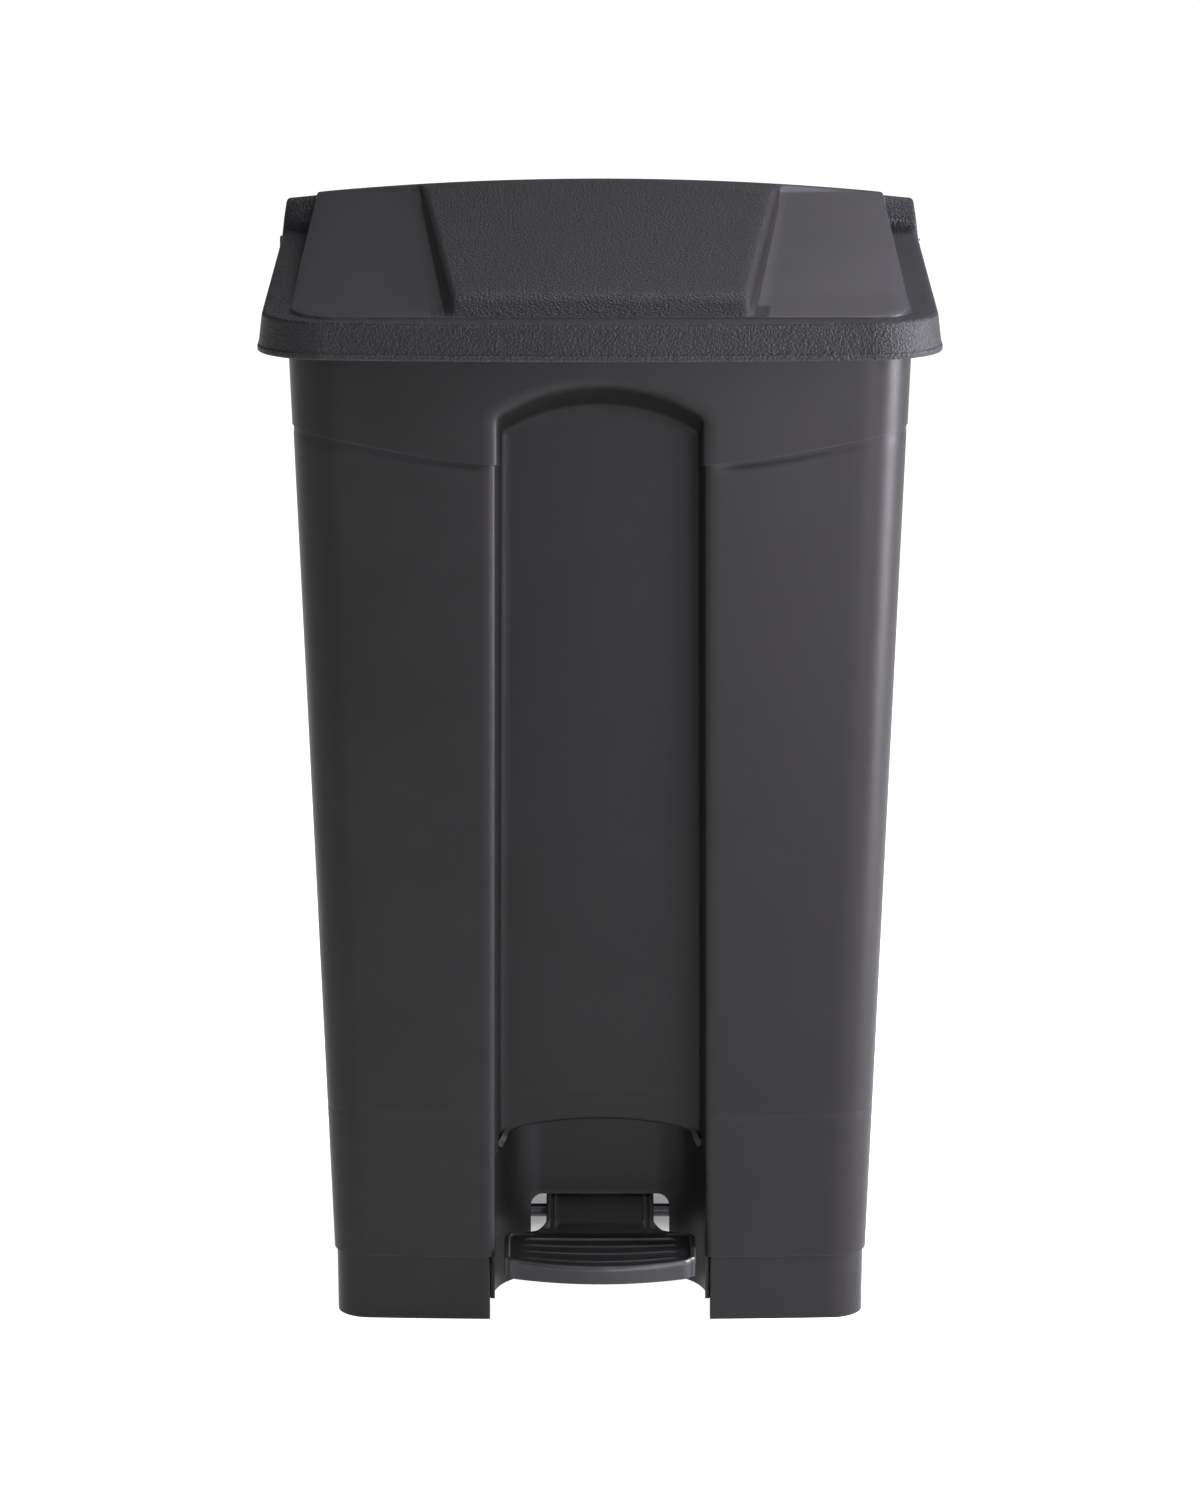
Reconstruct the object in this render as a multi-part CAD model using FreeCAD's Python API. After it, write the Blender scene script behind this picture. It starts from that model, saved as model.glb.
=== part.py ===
import FreeCAD, Part
import math
import os

from FreeCAD import Vector as V

os.makedirs("parts", exist_ok=True)

# ---------------------------------------------------------------- driving dimensions (mm)
WALL = 3.0            # moulded wall thickness
RIM_Z = 764.0         # top of the body
STEP_Z = 50.0         # top of the base band
FLOOR_Z = 168.0       # inside floor of the bin
FLOOR_T = 4.0

HX50, HX_SLOPE = 202.3, 0.0362      # half-width at the base step, growth per mm of height
YF50, YF_SLOPE = -150.6, -0.04485   # front face at the base step, growth per mm of height
YR50, YR_SLOPE = 172.0, 0.0162      # rear face
R50, R764 = 28.0, 36.0              # plan corner radius, bottom and top
BAND_IN = 2.0                       # the base band is set in by this
YOKE_X, YOKE_Y = 0.6, 1.6           # how far the yoke band stands proud, sides and front

CH_DEPTH = 40.0                     # front channel
CH_HX_TOP, CH_HX_BOT = 76.0, 80.6   # half-width at the front face
CH_IX_TOP, CH_IX_BOT = 73.0, 77.6   # half-width at the channel's floor
CH_SIDE_Z, CH_ARCH_Z = 702.6, 726.9
CH_ISIDE_Z, CH_IARCH_Z = 685.3, 706.0
NOTCH_HX = 83.5                     # notch in the base band below the channel
RECESS_LOW = 16.0                   # lower edge of the recess's wall

CAV_HX, CAV_BACK, CAV_R = 78.0, -90.0, 34.0   # pedal recess
CAV_SIDE_Z, CAV_TOP_Z = 134.0, 148.0
HOLE_HX, HOLE_TOP = 53.0, 81.5

RCH_HX, RCH_Y = 35.0, 128.0         # rear channel for the lift rod

LID_HX, LID_Y = 251.0, 205.0        # lip of the lid
LID_BOT, BEAD_TOP = 749.0, 753.0
FLANGE_Z, FLANGE_SLOPE = 776.0, 0.0353
CROWN_Z, CROWN_R = 826.0, 2334.0
LID_T = 3.0
LID_RB = 12.0                       # rear corner radius
LID_RF = 50.0                       # front corner radius
EAR_DROP = 2.6                      # how much lower the hood is outside the panels
LID_BOW, BODY_BOW = 8.0, 4.6        # how far the front bows forwards between its corners

HINGE = (190.0, 769.0)              # y, z
HROD_R = 4.0
LEVER_R = 45.0
LID_OPEN = 78.0
PIVOT = (-86.0, 67.0)               # pedal axle
AXLE_R = 5.0
ROD_R = 4.0
ROD_X = -22.5
CLEAR = 0.05                        # running clearance, radial


def hx(z):
    return HX50 + HX_SLOPE * (z - STEP_Z)


def yf(z):
    return YF50 + YF_SLOPE * (z - STEP_Z)


def yr(z):
    return YR50 + YR_SLOPE * (z - STEP_Z)


def rr(z):
    return R50 + (R764 - R50) * (z - STEP_Z) / (RIM_Z - STEP_Z)


def rrect(h, y0, y1, rf, z, rb=None, bow=0.0):
    """Rounded rectangle; its front edge bows forwards by bow."""
    edges, pts = [], []
    rb = rf if rb is None else rb
    yc = y0 + bow + rf
    for cx, cy, a, r in ((h - rf, yc, -90, rf), (h - rb, y1 - rb, 0, rb), (-h + rb, y1 - rb, 90, rb), (-h + rf, yc, 180, rf)):
        pts.append([V(cx + r * math.cos(math.radians(a + d)), cy + r * math.sin(math.radians(a + d)), z) for d in (0, 45, 90)])
    for i, p in enumerate(pts):
        edges.append(Part.Arc(*p).toShape())
        q = pts[(i + 1) % 4][0]
        if i == 3 and bow:
            edges.append(Part.Arc(p[2], V(0, y0, z), q).toShape())
        else:
            edges.append(Part.LineSegment(p[2], q).toShape())
    return Part.Wire(edges)


def loft(wires):
    return Part.makeLoft(wires, True, True)


def body_loft(z0, z1, off=0.0, ox=0.0, oy=0.0):
    def w(z):
        return rrect(hx(z) - off + ox, yf(z) + off - oy, yr(z) - off + ox, rr(z) - off, z, None, BODY_BOW)
    return loft([w(z0), w(z1)])


def band_loft(z0, z1, off=0.0):
    def w(z):
        i = BAND_IN + off
        return rrect(hx(STEP_Z) - i + 0.008 * (z - STEP_Z), yf(STEP_Z) + i - 0.008 * (z - STEP_Z), yr(STEP_Z) - i, R50 - i, z, None, BODY_BOW)
    return loft([w(z0), w(z1)])


def box(x0, x1, y0, y1, z0, z1):
    return Part.makeBox(x1 - x0, y1 - y0, z1 - z0, V(x0, y0, z0))


def cyl_x(r, x0, x1, y, z):
    return Part.makeCylinder(r, x1 - x0, V(x0, y, z), V(1, 0, 0))


def cyl_y(r, y0, y1, x, z):
    return Part.makeCylinder(r, y1 - y0, V(x, y0, z), V(0, 1, 0))


def cyl_z(r, z0, z1, x, y):
    return Part.makeCylinder(r, z1 - z0, V(x, y, z0), V(0, 0, 1))


def prism_x(yz, x0, x1):
    w = Part.makePolygon([V(x0, y, z) for y, z in yz] + [V(x0, *yz[0])])
    return Part.Face(w).extrude(V(x1 - x0, 0, 0))


def prism_y(xz, y0, y1):
    w = Part.makePolygon([V(x, y0, z) for x, z in xz] + [V(xz[0][0], y0, xz[0][1])])
    return Part.Face(w).extrude(V(0, y1 - y0, 0))


def wall_wire(hb, ht, zs, za, depth):
    """Outline of the front channel on a plane parallel to the sloping front face."""
    def p(x, z):
        return V(x, yf(z) + depth, z)
    zb = -6.0
    e = [Part.LineSegment(p(-hb, zb), p(-ht, zs)).toShape(),
         Part.Arc(p(-ht, zs), p(0, za), p(ht, zs)).toShape(),
         Part.LineSegment(p(ht, zs), p(hb, zb)).toShape(),
         Part.LineSegment(p(hb, zb), p(-hb, zb)).toShape()]
    return Part.Wire(e)


def channel(g=0.0):
    k = 4.0 / CH_DEPTH
    a = wall_wire(CH_HX_BOT + g + k * 5, CH_HX_TOP + g + k * 3.8, CH_SIDE_Z + g + 0.8, CH_ARCH_Z + g + 2.1, -4.0)
    b = wall_wire(CH_IX_BOT + g, CH_IX_TOP + g, CH_ISIDE_Z + g, CH_IARCH_Z + g, CH_DEPTH + g)
    return loft([a, b])


def cavity(g=0.0):
    c = rrect(CAV_HX + g, -240.0, CAV_BACK + g, CAV_R + g, -6.0)
    plan = Part.Face(c).extrude(V(0, 0, 170.0))
    pts = [(-CAV_HX - g - 1, -6.0), (-CAV_HX - g - 1, CAV_SIDE_Z + g - 4)]
    for i in range(-8, 9):
        x = (CAV_HX + g + 1) * i / 8.0
        pts.append((x, CAV_TOP_Z + g - (CAV_TOP_Z - CAV_SIDE_Z) * (i / 8.0) ** 2))
    pts += [(CAV_HX + g + 1, CAV_SIDE_Z + g - 4), (CAV_HX + g + 1, -6.0)]
    cut = plan.common(prism_y(pts, -122.0, CAV_BACK + g + 1))
    return cut


def rear_channel(g=0.0):
    return box(-RCH_HX - g, RCH_HX + g, RCH_Y - g, 230, -6.0, 800)


# ---------------------------------------------------------------- linkage
ALPHA = LID_OPEN / 2.0
TOP = (HINGE[0] - LEVER_R * math.cos(math.radians(ALPHA)), HINGE[1] - LEVER_R * math.sin(math.radians(ALPHA)))
HALF_LIFT = LEVER_R * math.sin(math.radians(ALPHA))
TAIL = (TOP[0], PIVOT[1] - HALF_LIFT)
TAIL_R = math.hypot(TAIL[0] - PIVOT[0], TAIL[1] - PIVOT[1])
PEDAL_TURN = 2 * math.degrees(math.asin(HALF_LIFT / TAIL_R))
ROD_LEN = TOP[1] - TAIL[1]
RATIO = PEDAL_TURN / LID_OPEN


def pin_in_lid(theta):
    """Centre of the rod's top pin, seen from the lid, when the lid is open by theta degrees."""
    a = math.radians(theta * RATIO) + math.atan2(TAIL[1] - PIVOT[1], TAIL[0] - PIVOT[0])
    y = PIVOT[0] + TAIL_R * math.cos(a) - HINGE[0]
    z = PIVOT[1] + TAIL_R * math.sin(a) + ROD_LEN - HINGE[1]
    t = math.radians(theta)
    return HINGE[0] + y * math.cos(t) - z * math.sin(t), HINGE[1] + y * math.sin(t) + z * math.cos(t)


# ---------------------------------------------------------------- body
yoke_pts = [(-260, 692), (-224, 692), (-205, 688), (-177, 682), (-149, 677), (-120, 672), (-96, 669), (-74, 668)]
yoke_pts = yoke_pts + [(-x, z) for x, z in reversed(yoke_pts)] + [(260, 780), (-260, 780)]
yoke = body_loft(640, RIM_Z, 0, YOKE_X, YOKE_Y).common(prism_y(yoke_pts, -230, 230))
outer = band_loft(0, STEP_Z + 1).fuse(body_loft(STEP_Z, RIM_Z)).fuse(yoke)
rim = loft([rrect(239, -196, 150, 42, z, 34, 7.0) for z in (757, 762)])
lip = rim.fuse(loft([rrect(239, -196, 150, 42, z, 34, 7.0) for z in (750, 757)]).cut(
    loft([rrect(236.5, -193.5, 160, 39.5, z, 34, 7.0) for z in (749, 757)])))
outer = outer.fuse(lip)
for s in (-1, 1):
    for x0, x1 in ((178, 190), (44, 56)):
        a, b = (x0, x1) if s > 0 else (-x1, -x0)
        ear = prism_x([(176, 728), (184, 730), (197.5, 763), (190, 769), (181, 772), (176, 764)], a, b)
        outer = outer.fuse(ear).fuse(cyl_x(9.0, a, b, *HINGE))
cuts = channel().fuse(cavity()).fuse(rear_channel())
shell = outer.cut(cuts)
keep = channel(WALL).fuse(cavity(WALL)).fuse(rear_channel(WALL))
shell = shell.cut(body_loft(FLOOR_Z, RIM_Z + 6, WALL).cut(keep))
shell = shell.cut(body_loft(STEP_Z - 3, FLOOR_Z - FLOOR_T, WALL).fuse(band_loft(3, STEP_Z - 1, WALL)).cut(keep))
shell = shell.cut(band_loft(-2, 4, WALL + 9).cut(keep))
# neck hole in the recess's back wall, and the wall's lower edge
shell = shell.cut(box(-HOLE_HX, HOLE_HX, CAV_BACK - 12, CAV_BACK + 6, -6, HOLE_TOP))
shell = shell.cut(box(-RCH_HX + 17, RCH_HX - 17, RCH_Y - 8, RCH_Y + 4, 22, 128))
shell = shell.cut(box(-NOTCH_HX - 1.5, NOTCH_HX + 1.5, -145.3, CAV_BACK + 8, -6, RECESS_LOW))
shell = shell.cut(box(-NOTCH_HX, NOTCH_HX, -165, -145.4, -6, STEP_Z))
# axle cheeks hang from the underside of the floor
for s in (-1, 1):
    a, b = (62, 68) if s > 0 else (-68, -62)
    cheek = prism_x([(CAV_BACK - 3, 52), (-70, 52), (-62, 70), (-50, FLOOR_Z - 2), (CAV_BACK - 3, FLOOR_Z - 2)], a, b)
    shell = shell.fuse(cheek)
shell = shell.cut(cyl_x(AXLE_R, -69, 69, *PIVOT))
for z in (300.0, 560.0):
    shell = shell.cut(cyl_y(2.0, RCH_Y - 6, RCH_Y + 1, 12.0, z))
shell = shell.cut(cyl_x(HROD_R, -200, 200, *HINGE))
bumper_xy = ((-146, -186.75), (146, -186.75))
for x, y in bumper_xy:
    shell = shell.cut(cyl_z(3.0, 750, 766, x, y))


# ---------------------------------------------------------------- lid
def lid_solid(t):
    def zf(y):
        return FLANGE_Z - t + FLANGE_SLOPE * (y + 201.5)
    zb = LID_BOT if t == 0 else LID_BOT - 9
    g = 0.117

    def w(z):
        d = g * (z - BEAD_TOP)
        return rrect(LID_HX - 1.2 - d - t, -LID_Y + 1.2 + d + t, LID_Y - t, LID_RF - t, z, LID_RB - t, LID_BOW)
    a = loft([w(zb), w(806)]).common(prism_x([(-230, 700), (-230, zf(-230)), (230, zf(230)), (230, 700)], -260, 260))

    def rect(h, y, z1):
        return Part.makePolygon([V(-h, y, zb), V(h, y, zb), V(h, y, z1), V(-h, y, z1), V(-h, y, zb)])
    b = loft([rect(226.5 - t, -182 + t, 776.8 - t), rect(220.0 - t, 160, 819.9 - t)])
    c = loft([rect(107.5 - t, -181 + t, 775.6 - t), rect(108.8 - t, -166 + t, 791.5 - t)])
    c = c.fuse(loft([rect(108.8 - t, -166 + t, 791.5 - t), rect(139.5 - t, 160, 827 - t)]))
    if t == 0:
        yz = [(139, zb), (139, 812), (146, 818), (160, 826), (178, 824), (196, 814), (205, 798), (205, zb)]
    else:
        yz = [(142, zb), (142, 809.3), (147.5, 814.8), (160.5, 822.8), (177, 820.9), (193.6, 811.5), (202, 797), (202, zb)]
    plan = Part.Face(rrect(246.4 - t, -LID_Y + t, LID_Y - t, LID_RF - 2 - t, zb, LID_RB - t, LID_BOW)).extrude(V(0, 0, 90))
    d = plan.common(prism_x(yz, -219 + t, 219 - t))
    # the hood's ends stand lower than its middle
    low = [(y, z - EAR_DROP if z > zb else z) for y, z in yz]
    d = d.fuse(plan.common(prism_x(low, -260, 260)))
    crown = Part.makeCylinder(CROWN_R - t, 460, V(0, -230, CROWN_Z - CROWN_R), V(0, 1, 0))
    s = a.fuse(b).fuse(c).fuse(d)
    slab = box(-260, 260, -230, 230, zb - 1, 835).common(crown)
    return s.common(slab)


lid = lid_solid(0)
lid = lid.fuse(loft([rrect(LID_HX, -LID_Y, LID_Y, LID_RF, LID_BOT, LID_RB, LID_BOW), rrect(LID_HX, -LID_Y, LID_Y, LID_RF, BEAD_TOP, LID_RB, LID_BOW)]))
lid = lid.cut(lid_solid(LID_T))
lid = lid.cut(box(-232, 232, 185, 210, 740, 776))
for s in (-1, 1):
    a, b = (229, 246) if s > 0 else (-246, -229)
    lid = lid.fuse(cyl_x(10.0, a, b, *HINGE))
for x in (-13, 13):
    lid = lid.fuse(cyl_z(6.0, 795, 824.5, x, 163))
    lid = lid.cut(cyl_z(2.0, 794, 812, x, 163))
for s in (-1, 1):
    a, b = (228, 252) if s > 0 else (-252, -228)
    lid = lid.cut(cyl_x(6.5, a, b, *HINGE))
    a, b = (246.9, 256) if s > 0 else (-256, -246.9)
    lid = lid.cut(cyl_x(9.0, a, b, *HINGE))

bushes = []
for s in (-1, 1):
    a, b = (229, 246.4) if s > 0 else (-246.4, -229)
    bushes.append(cyl_x(6.5, a, b, *HINGE).cut(cyl_x(HROD_R + CLEAR, a - 1, b + 1, *HINGE)))
hinge_rod = cyl_x(HROD_R, -249.5, 247.2, *HINGE).fuse(cyl_x(8.0, 247.2, 250.4, *HINGE))
hinge_cap = cyl_x(8.0, -250.4, -247.2, *HINGE).cut(cyl_x(HROD_R, -249.5, -247.0, *HINGE))

# lever under the lid, with the slot that the lift rod's top pin slides in
lever = prism_x([(142, 738), (147, 731), (157, 729), (166, 735), (172, 750), (178, 792), (178, 795), (144, 795), (144, 765)], -3, 3)
lever = lever.fuse(box(-20, 20, 148, 178, 792, 795))
path = [pin_in_lid(LID_OPEN * i / 24.0) for i in range(25)]
slot_r = ROD_R + 0.35
for i, (y, z) in enumerate(path):
    lever = lever.cut(cyl_x(slot_r, -4, 4, y, z))
    if i:
        y0, z0 = path[i - 1]
        d = math.hypot(y - y0, z - z0)
        if d > 0.01:
            nx, nz = -(z - z0) / d * slot_r, (y - y0) / d * slot_r
            lever = lever.cut(prism_x([(y0 + nx, z0 + nz), (y + nx, z + nz), (y - nx, z - nz), (y0 - nx, z0 - nz)], -4, 4))
for x in (-13, 13):
    lever = lever.cut(cyl_z(2.0, 790, 797, x, 163))
lever_screws = [cyl_z(2.0, 791, 811, x, 163).fuse(cyl_z(4.2, 789.6, 792, x, 163)) for x in (-13, 13)]

# ---------------------------------------------------------------- lift rod and what holds it
bend = 9.0


def elbow(z, turn):
    """Quarter bend from the upright rod into its level end."""
    ring = Part.Wire(Part.makeCircle(ROD_R, V(ROD_X, TOP[0], z), V(0, 0, 1)))
    return Part.Face(ring).revolve(V(ROD_X + bend, TOP[0], z), V(0, 1, 0), turn)


rod = cyl_z(ROD_R, TAIL[1] + bend, TOP[1] - bend, ROD_X, TOP[0])
rod = rod.fuse(elbow(TOP[1] - bend, 90)).fuse(elbow(TAIL[1] + bend, -90))
rod = rod.fuse(cyl_x(ROD_R, ROD_X + bend, 12.0, *TOP)).fuse(cyl_x(ROD_R, ROD_X + bend, 22.0, *TAIL))
top_clip = cyl_x(7.5, 5.0, 8.0, *TOP).cut(cyl_x(ROD_R, 4, 9, *TOP))
bottom_clip = cyl_x(7.5, 15.0, 18.0, *TAIL).cut(cyl_x(ROD_R, 14, 19, *TAIL))

guides, guide_screws = [], []
for z in (300.0, 560.0):
    g = box(-34, 22, RCH_Y, RCH_Y + 3, z - 11, z + 11).fuse(box(ROD_X - 9, ROD_X + 9, RCH_Y + 2, 168, z - 7, z + 7))
    g = g.cut(box(ROD_X - 4.5, ROD_X + 4.5, TOP[0] - 4.6, TOP[0] + 6.4, z - 8, z + 8))
    g = g.cut(cyl_y(2.0, RCH_Y - 1, RCH_Y + 4, 12.0, z))
    guides.append(g)
    guide_screws.append(cyl_y(2.0, RCH_Y - 9, RCH_Y + 4, 12.0, z).fuse(cyl_y(4.2, RCH_Y + 3, RCH_Y + 5.4, 12.0, z)))

# ---------------------------------------------------------------- pedal
def pedal_plan(grow, back):
    h, n = 72.5 - grow, 41.0 - grow
    def p(x, y):
        return V(x, y, 20.0)
    edges = [Part.Arc(p(-h, -165 + grow), p(0, -186 + grow), p(h, -165 + grow)).toShape()]
    pts = [(h, -165 + grow), (h, -137 - grow), (62 - grow, -125 - grow), (n, -119 - grow), (n, back), (-n, back),
           (-n, -119 - grow), (-62 + grow, -125 - grow), (-h, -137 - grow), (-h, -165 + grow)]
    edges += [Part.LineSegment(p(*a), p(*b)).toShape() for a, b in zip(pts, pts[1:])]
    return Part.Face(Part.Wire(edges)).extrude(V(0, 0, 80))


pedal = pedal_plan(0, -46).common(prism_x([
    (-195, 41), (-195, 52.0), (-184, 53.6), (-120, 59.5), (-94, 78.2), (-90, 79.5), (-84, 79.6), (-46, 76),
    (-46, 56), (-92, 56), (-104, 48), (-150, 41)], -90, 90))
pedal = pedal.cut(pedal_plan(3.5, -110).common(prism_x([
    (-195, 30), (-195, 49.2), (-184, 50.2), (-121, 56), (-110, 63.5), (-110, 30)], -90, 90)))
for y in (-172.0, -160.0, -148.0, -136.0):
    zt = 53.6 + (y + 184) * 0.0922
    pedal = pedal.fuse(box(-50, 50, y - 1.2, y + 1.2, zt - 1.5, zt + 1.0))
for s in (-1, 1):
    a, b = (36.5, 40.5) if s > 0 else (-40.5, -36.5)
    pedal = pedal.fuse(prism_x([(-118, 60), (-94, 79.4), (-90, 80.6), (-84, 80.8), (-78, 78.4), (-96, 70), (-116, 57.5)], a, b))
pedal = pedal.cut(cyl_x(7.5, -42, 42, *PIVOT))
pedal = pedal.cut(box(-12.05, 12.05, -76, -40, 50, 70.2))
for y in (-70, -54):
    pedal = pedal.cut(cyl_z(2.0, 60, 74.2, 0, y))
pedal_bushes = [cyl_x(7.5, a, b, *PIVOT).cut(cyl_x(AXLE_R + CLEAR, a - 1, b + 1, *PIVOT)) for a, b in ((25, 41), (-41, -25))]
axle = cyl_x(AXLE_R, -74, 74, *PIVOT)
axle_clips = [cyl_x(7.8, a, b, *PIVOT).cut(cyl_x(AXLE_R, a - 1, b + 1, *PIVOT)) for a, b in ((68.1, 71), (-71, -68.1))]

slope = (TAIL[1] + 4 - 62.0) / (TAIL[0] - 12 + 46)


def arm_z(y):
    return 62.0 + slope * (y + 46)


arm = prism_x([(-75.9, 56), (-46, 56), (TAIL[0] - 14, arm_z(TAIL[0] - 14) - 8), (TAIL[0] + 9, TAIL[1] - 9), (TAIL[0] + 9, TAIL[1] + 8),
               (TAIL[0] - 14, arm_z(TAIL[0] - 14) + 6), (-46, 70), (-75.9, 70)], -12, 12)
arm = arm.cut(prism_x([(-80, 50), (-46, 50), (TAIL[0] - 14, arm_z(TAIL[0] - 14) - 14), (TAIL[0] + 12, TAIL[1] - 16), (TAIL[0] + 12, TAIL[1] + 20),
                       (TAIL[0] - 13, TAIL[1] + 20), (TAIL[0] - 14, arm_z(TAIL[0] - 14) + 3.5), (-46, 67.5), (-80, 67.5)], -9.5, 9.5))
arm = arm.cut(cyl_x(ROD_R + CLEAR, -13, 13, *TAIL))
for y in (-70, -54):
    arm = arm.cut(cyl_z(2.0, 60, 75, 0, y))
arm_screws = []
for y in (-70, -54):
    arm_screws.append(cyl_z(2.0, 66.0, 74.0, 0, y).fuse(cyl_z(4.0, 65.0, 67.5, 0, y)))
# height of the arm's underside where it crosses the rear channel's wall
ya = RCH_Y - 1.5
under = arm_z(ya) - 8
arm_stop = box(-10, 10, RCH_Y - 6.5, RCH_Y + 3.5, 20, under - 0.6).cut(box(-11, 11, RCH_Y - WALL, RCH_Y, 10, 22))

bumpers = [cyl_z(3.0, 756, 763, x, y).fuse(cyl_z(5.0, 762, 772.8, x, y)) for x, y in bumper_xy]

nodes = {
    "body_shell": shell, "lid": lid, "lid_hinge_bushes": bushes, "hinge_rod": hinge_rod, "hinge_rod_cap": hinge_cap,
    "lid_lever": lever, "lid_lever_screws": lever_screws, "lift_rod": rod, "rod_top_clip": top_clip,
    "rod_bottom_clip": bottom_clip, "rod_guides": guides, "rod_guide_screws": guide_screws, "pedal": pedal,
    "pedal_bushes": pedal_bushes, "pedal_axle": axle, "axle_clips": axle_clips, "pedal_arm": arm,
    "pedal_arm_screws": arm_screws, "arm_stop": arm_stop, "lid_bumpers": bumpers,
}
for name, shape in nodes.items():
    if isinstance(shape, list):
        shape = Part.Compound(shape)
    shape = shape.removeSplitter() if not isinstance(shape, Part.Compound) else shape
    solids = shape.Solids
    bb = shape.BoundBox
    print(f"{name:18s} solids {len(solids)} valid {shape.isValid()} vol {shape.Volume/1000:9.1f} cm3 "
          f"x {bb.XMin:.1f}..{bb.XMax:.1f} y {bb.YMin:.1f}..{bb.YMax:.1f} z {bb.ZMin:.1f}..{bb.ZMax:.1f}")
    if len(solids) == 1:
        solids[0].exportStep(f"parts/{name}.step")
    else:
        Part.Compound(solids).exportStep(f"parts/{name}.step")
print("ratio", RATIO, "pedal turn", PEDAL_TURN, "rod top", TOP, "tail", TAIL, "rod length", ROD_LEN, "stop under", under)
print("slot path r", [round(math.hypot(y - HINGE[0], z - HINGE[1]), 2) for y, z in path[::4]])
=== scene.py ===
import math

import bmesh
import bpy
import numpy as np
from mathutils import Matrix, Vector


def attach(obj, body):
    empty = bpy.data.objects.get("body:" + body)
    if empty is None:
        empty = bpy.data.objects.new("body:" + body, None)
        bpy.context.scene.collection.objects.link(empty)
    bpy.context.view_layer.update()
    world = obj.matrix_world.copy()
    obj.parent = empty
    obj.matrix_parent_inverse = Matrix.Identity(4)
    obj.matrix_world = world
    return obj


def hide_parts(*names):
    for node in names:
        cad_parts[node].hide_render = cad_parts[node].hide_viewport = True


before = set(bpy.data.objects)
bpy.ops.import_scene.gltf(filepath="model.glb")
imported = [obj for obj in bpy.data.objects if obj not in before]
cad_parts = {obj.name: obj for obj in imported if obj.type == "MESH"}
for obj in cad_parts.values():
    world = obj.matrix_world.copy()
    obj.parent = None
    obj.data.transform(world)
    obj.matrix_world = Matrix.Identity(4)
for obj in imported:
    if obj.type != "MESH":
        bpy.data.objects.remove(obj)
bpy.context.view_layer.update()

MM = 0.001
sin, cos, pi, sqrt = math.sin, math.cos, math.pi, math.sqrt

# ------------------------------------------------------------------ the same dimensions as the CAD, in mm
WALL, RIM_Z, STEP_Z = 3.0, 764.0, 50.0
BOW, LID_BOW = 4.6, 8.0
HINGE = (190.0, 769.0)
PIVOT = (-86.0, 67.0)


def hx(z): return 202.3 + 0.0362 * (z - 50)
def yf(z): return -150.6 - 0.04485 * (z - 50)
def yr(z): return 172.0 + 0.0162 * (z - 50)
def rr(z): return 28.0 + 8.0 * (z - 50) / 714.0


def lerp(a, b, t): return a + (b - a) * t


def clamp(t, a=0.0, b=1.0): return max(a, min(b, t))


def smooth(t):
    t = clamp(t)
    return t * t * (3 - 2 * t)


def interp(x, pts):
    if x <= pts[0][0]:
        return pts[0][1]
    for (x0, y0), (x1, y1) in zip(pts, pts[1:]):
        if x <= x1:
            return y0 + (y1 - y0) * (x - x0) / (x1 - x0)
    return pts[-1][1]


# ------------------------------------------------------------------ mesh helpers
class Mesh:
    """Collects points and faces in mm, with a material number for each face."""

    def __init__(self):
        self.v, self.f, self.m = [], [], []

    def grid(self, rows, mat=0, skip=None, closed=False, flip=False):
        base = len(self.v)
        n = len(rows[0])
        for r in rows:
            self.v.extend(r)
        for i in range(len(rows) - 1):
            for j in range(n if closed else n - 1):
                if skip and skip(i, j):
                    continue
                k = (j + 1) % n
                q = [base + i * n + j, base + i * n + k, base + (i + 1) * n + k, base + (i + 1) * n + j]
                if flip:
                    q.reverse()
                self.f.append(q)
                self.m.append(mat(i, j) if callable(mat) else mat)

    def poly(self, pts, mat=0):
        base = len(self.v)
        self.v.extend(pts)
        self.f.append(list(range(base, base + len(pts))))
        self.m.append(mat)


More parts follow.
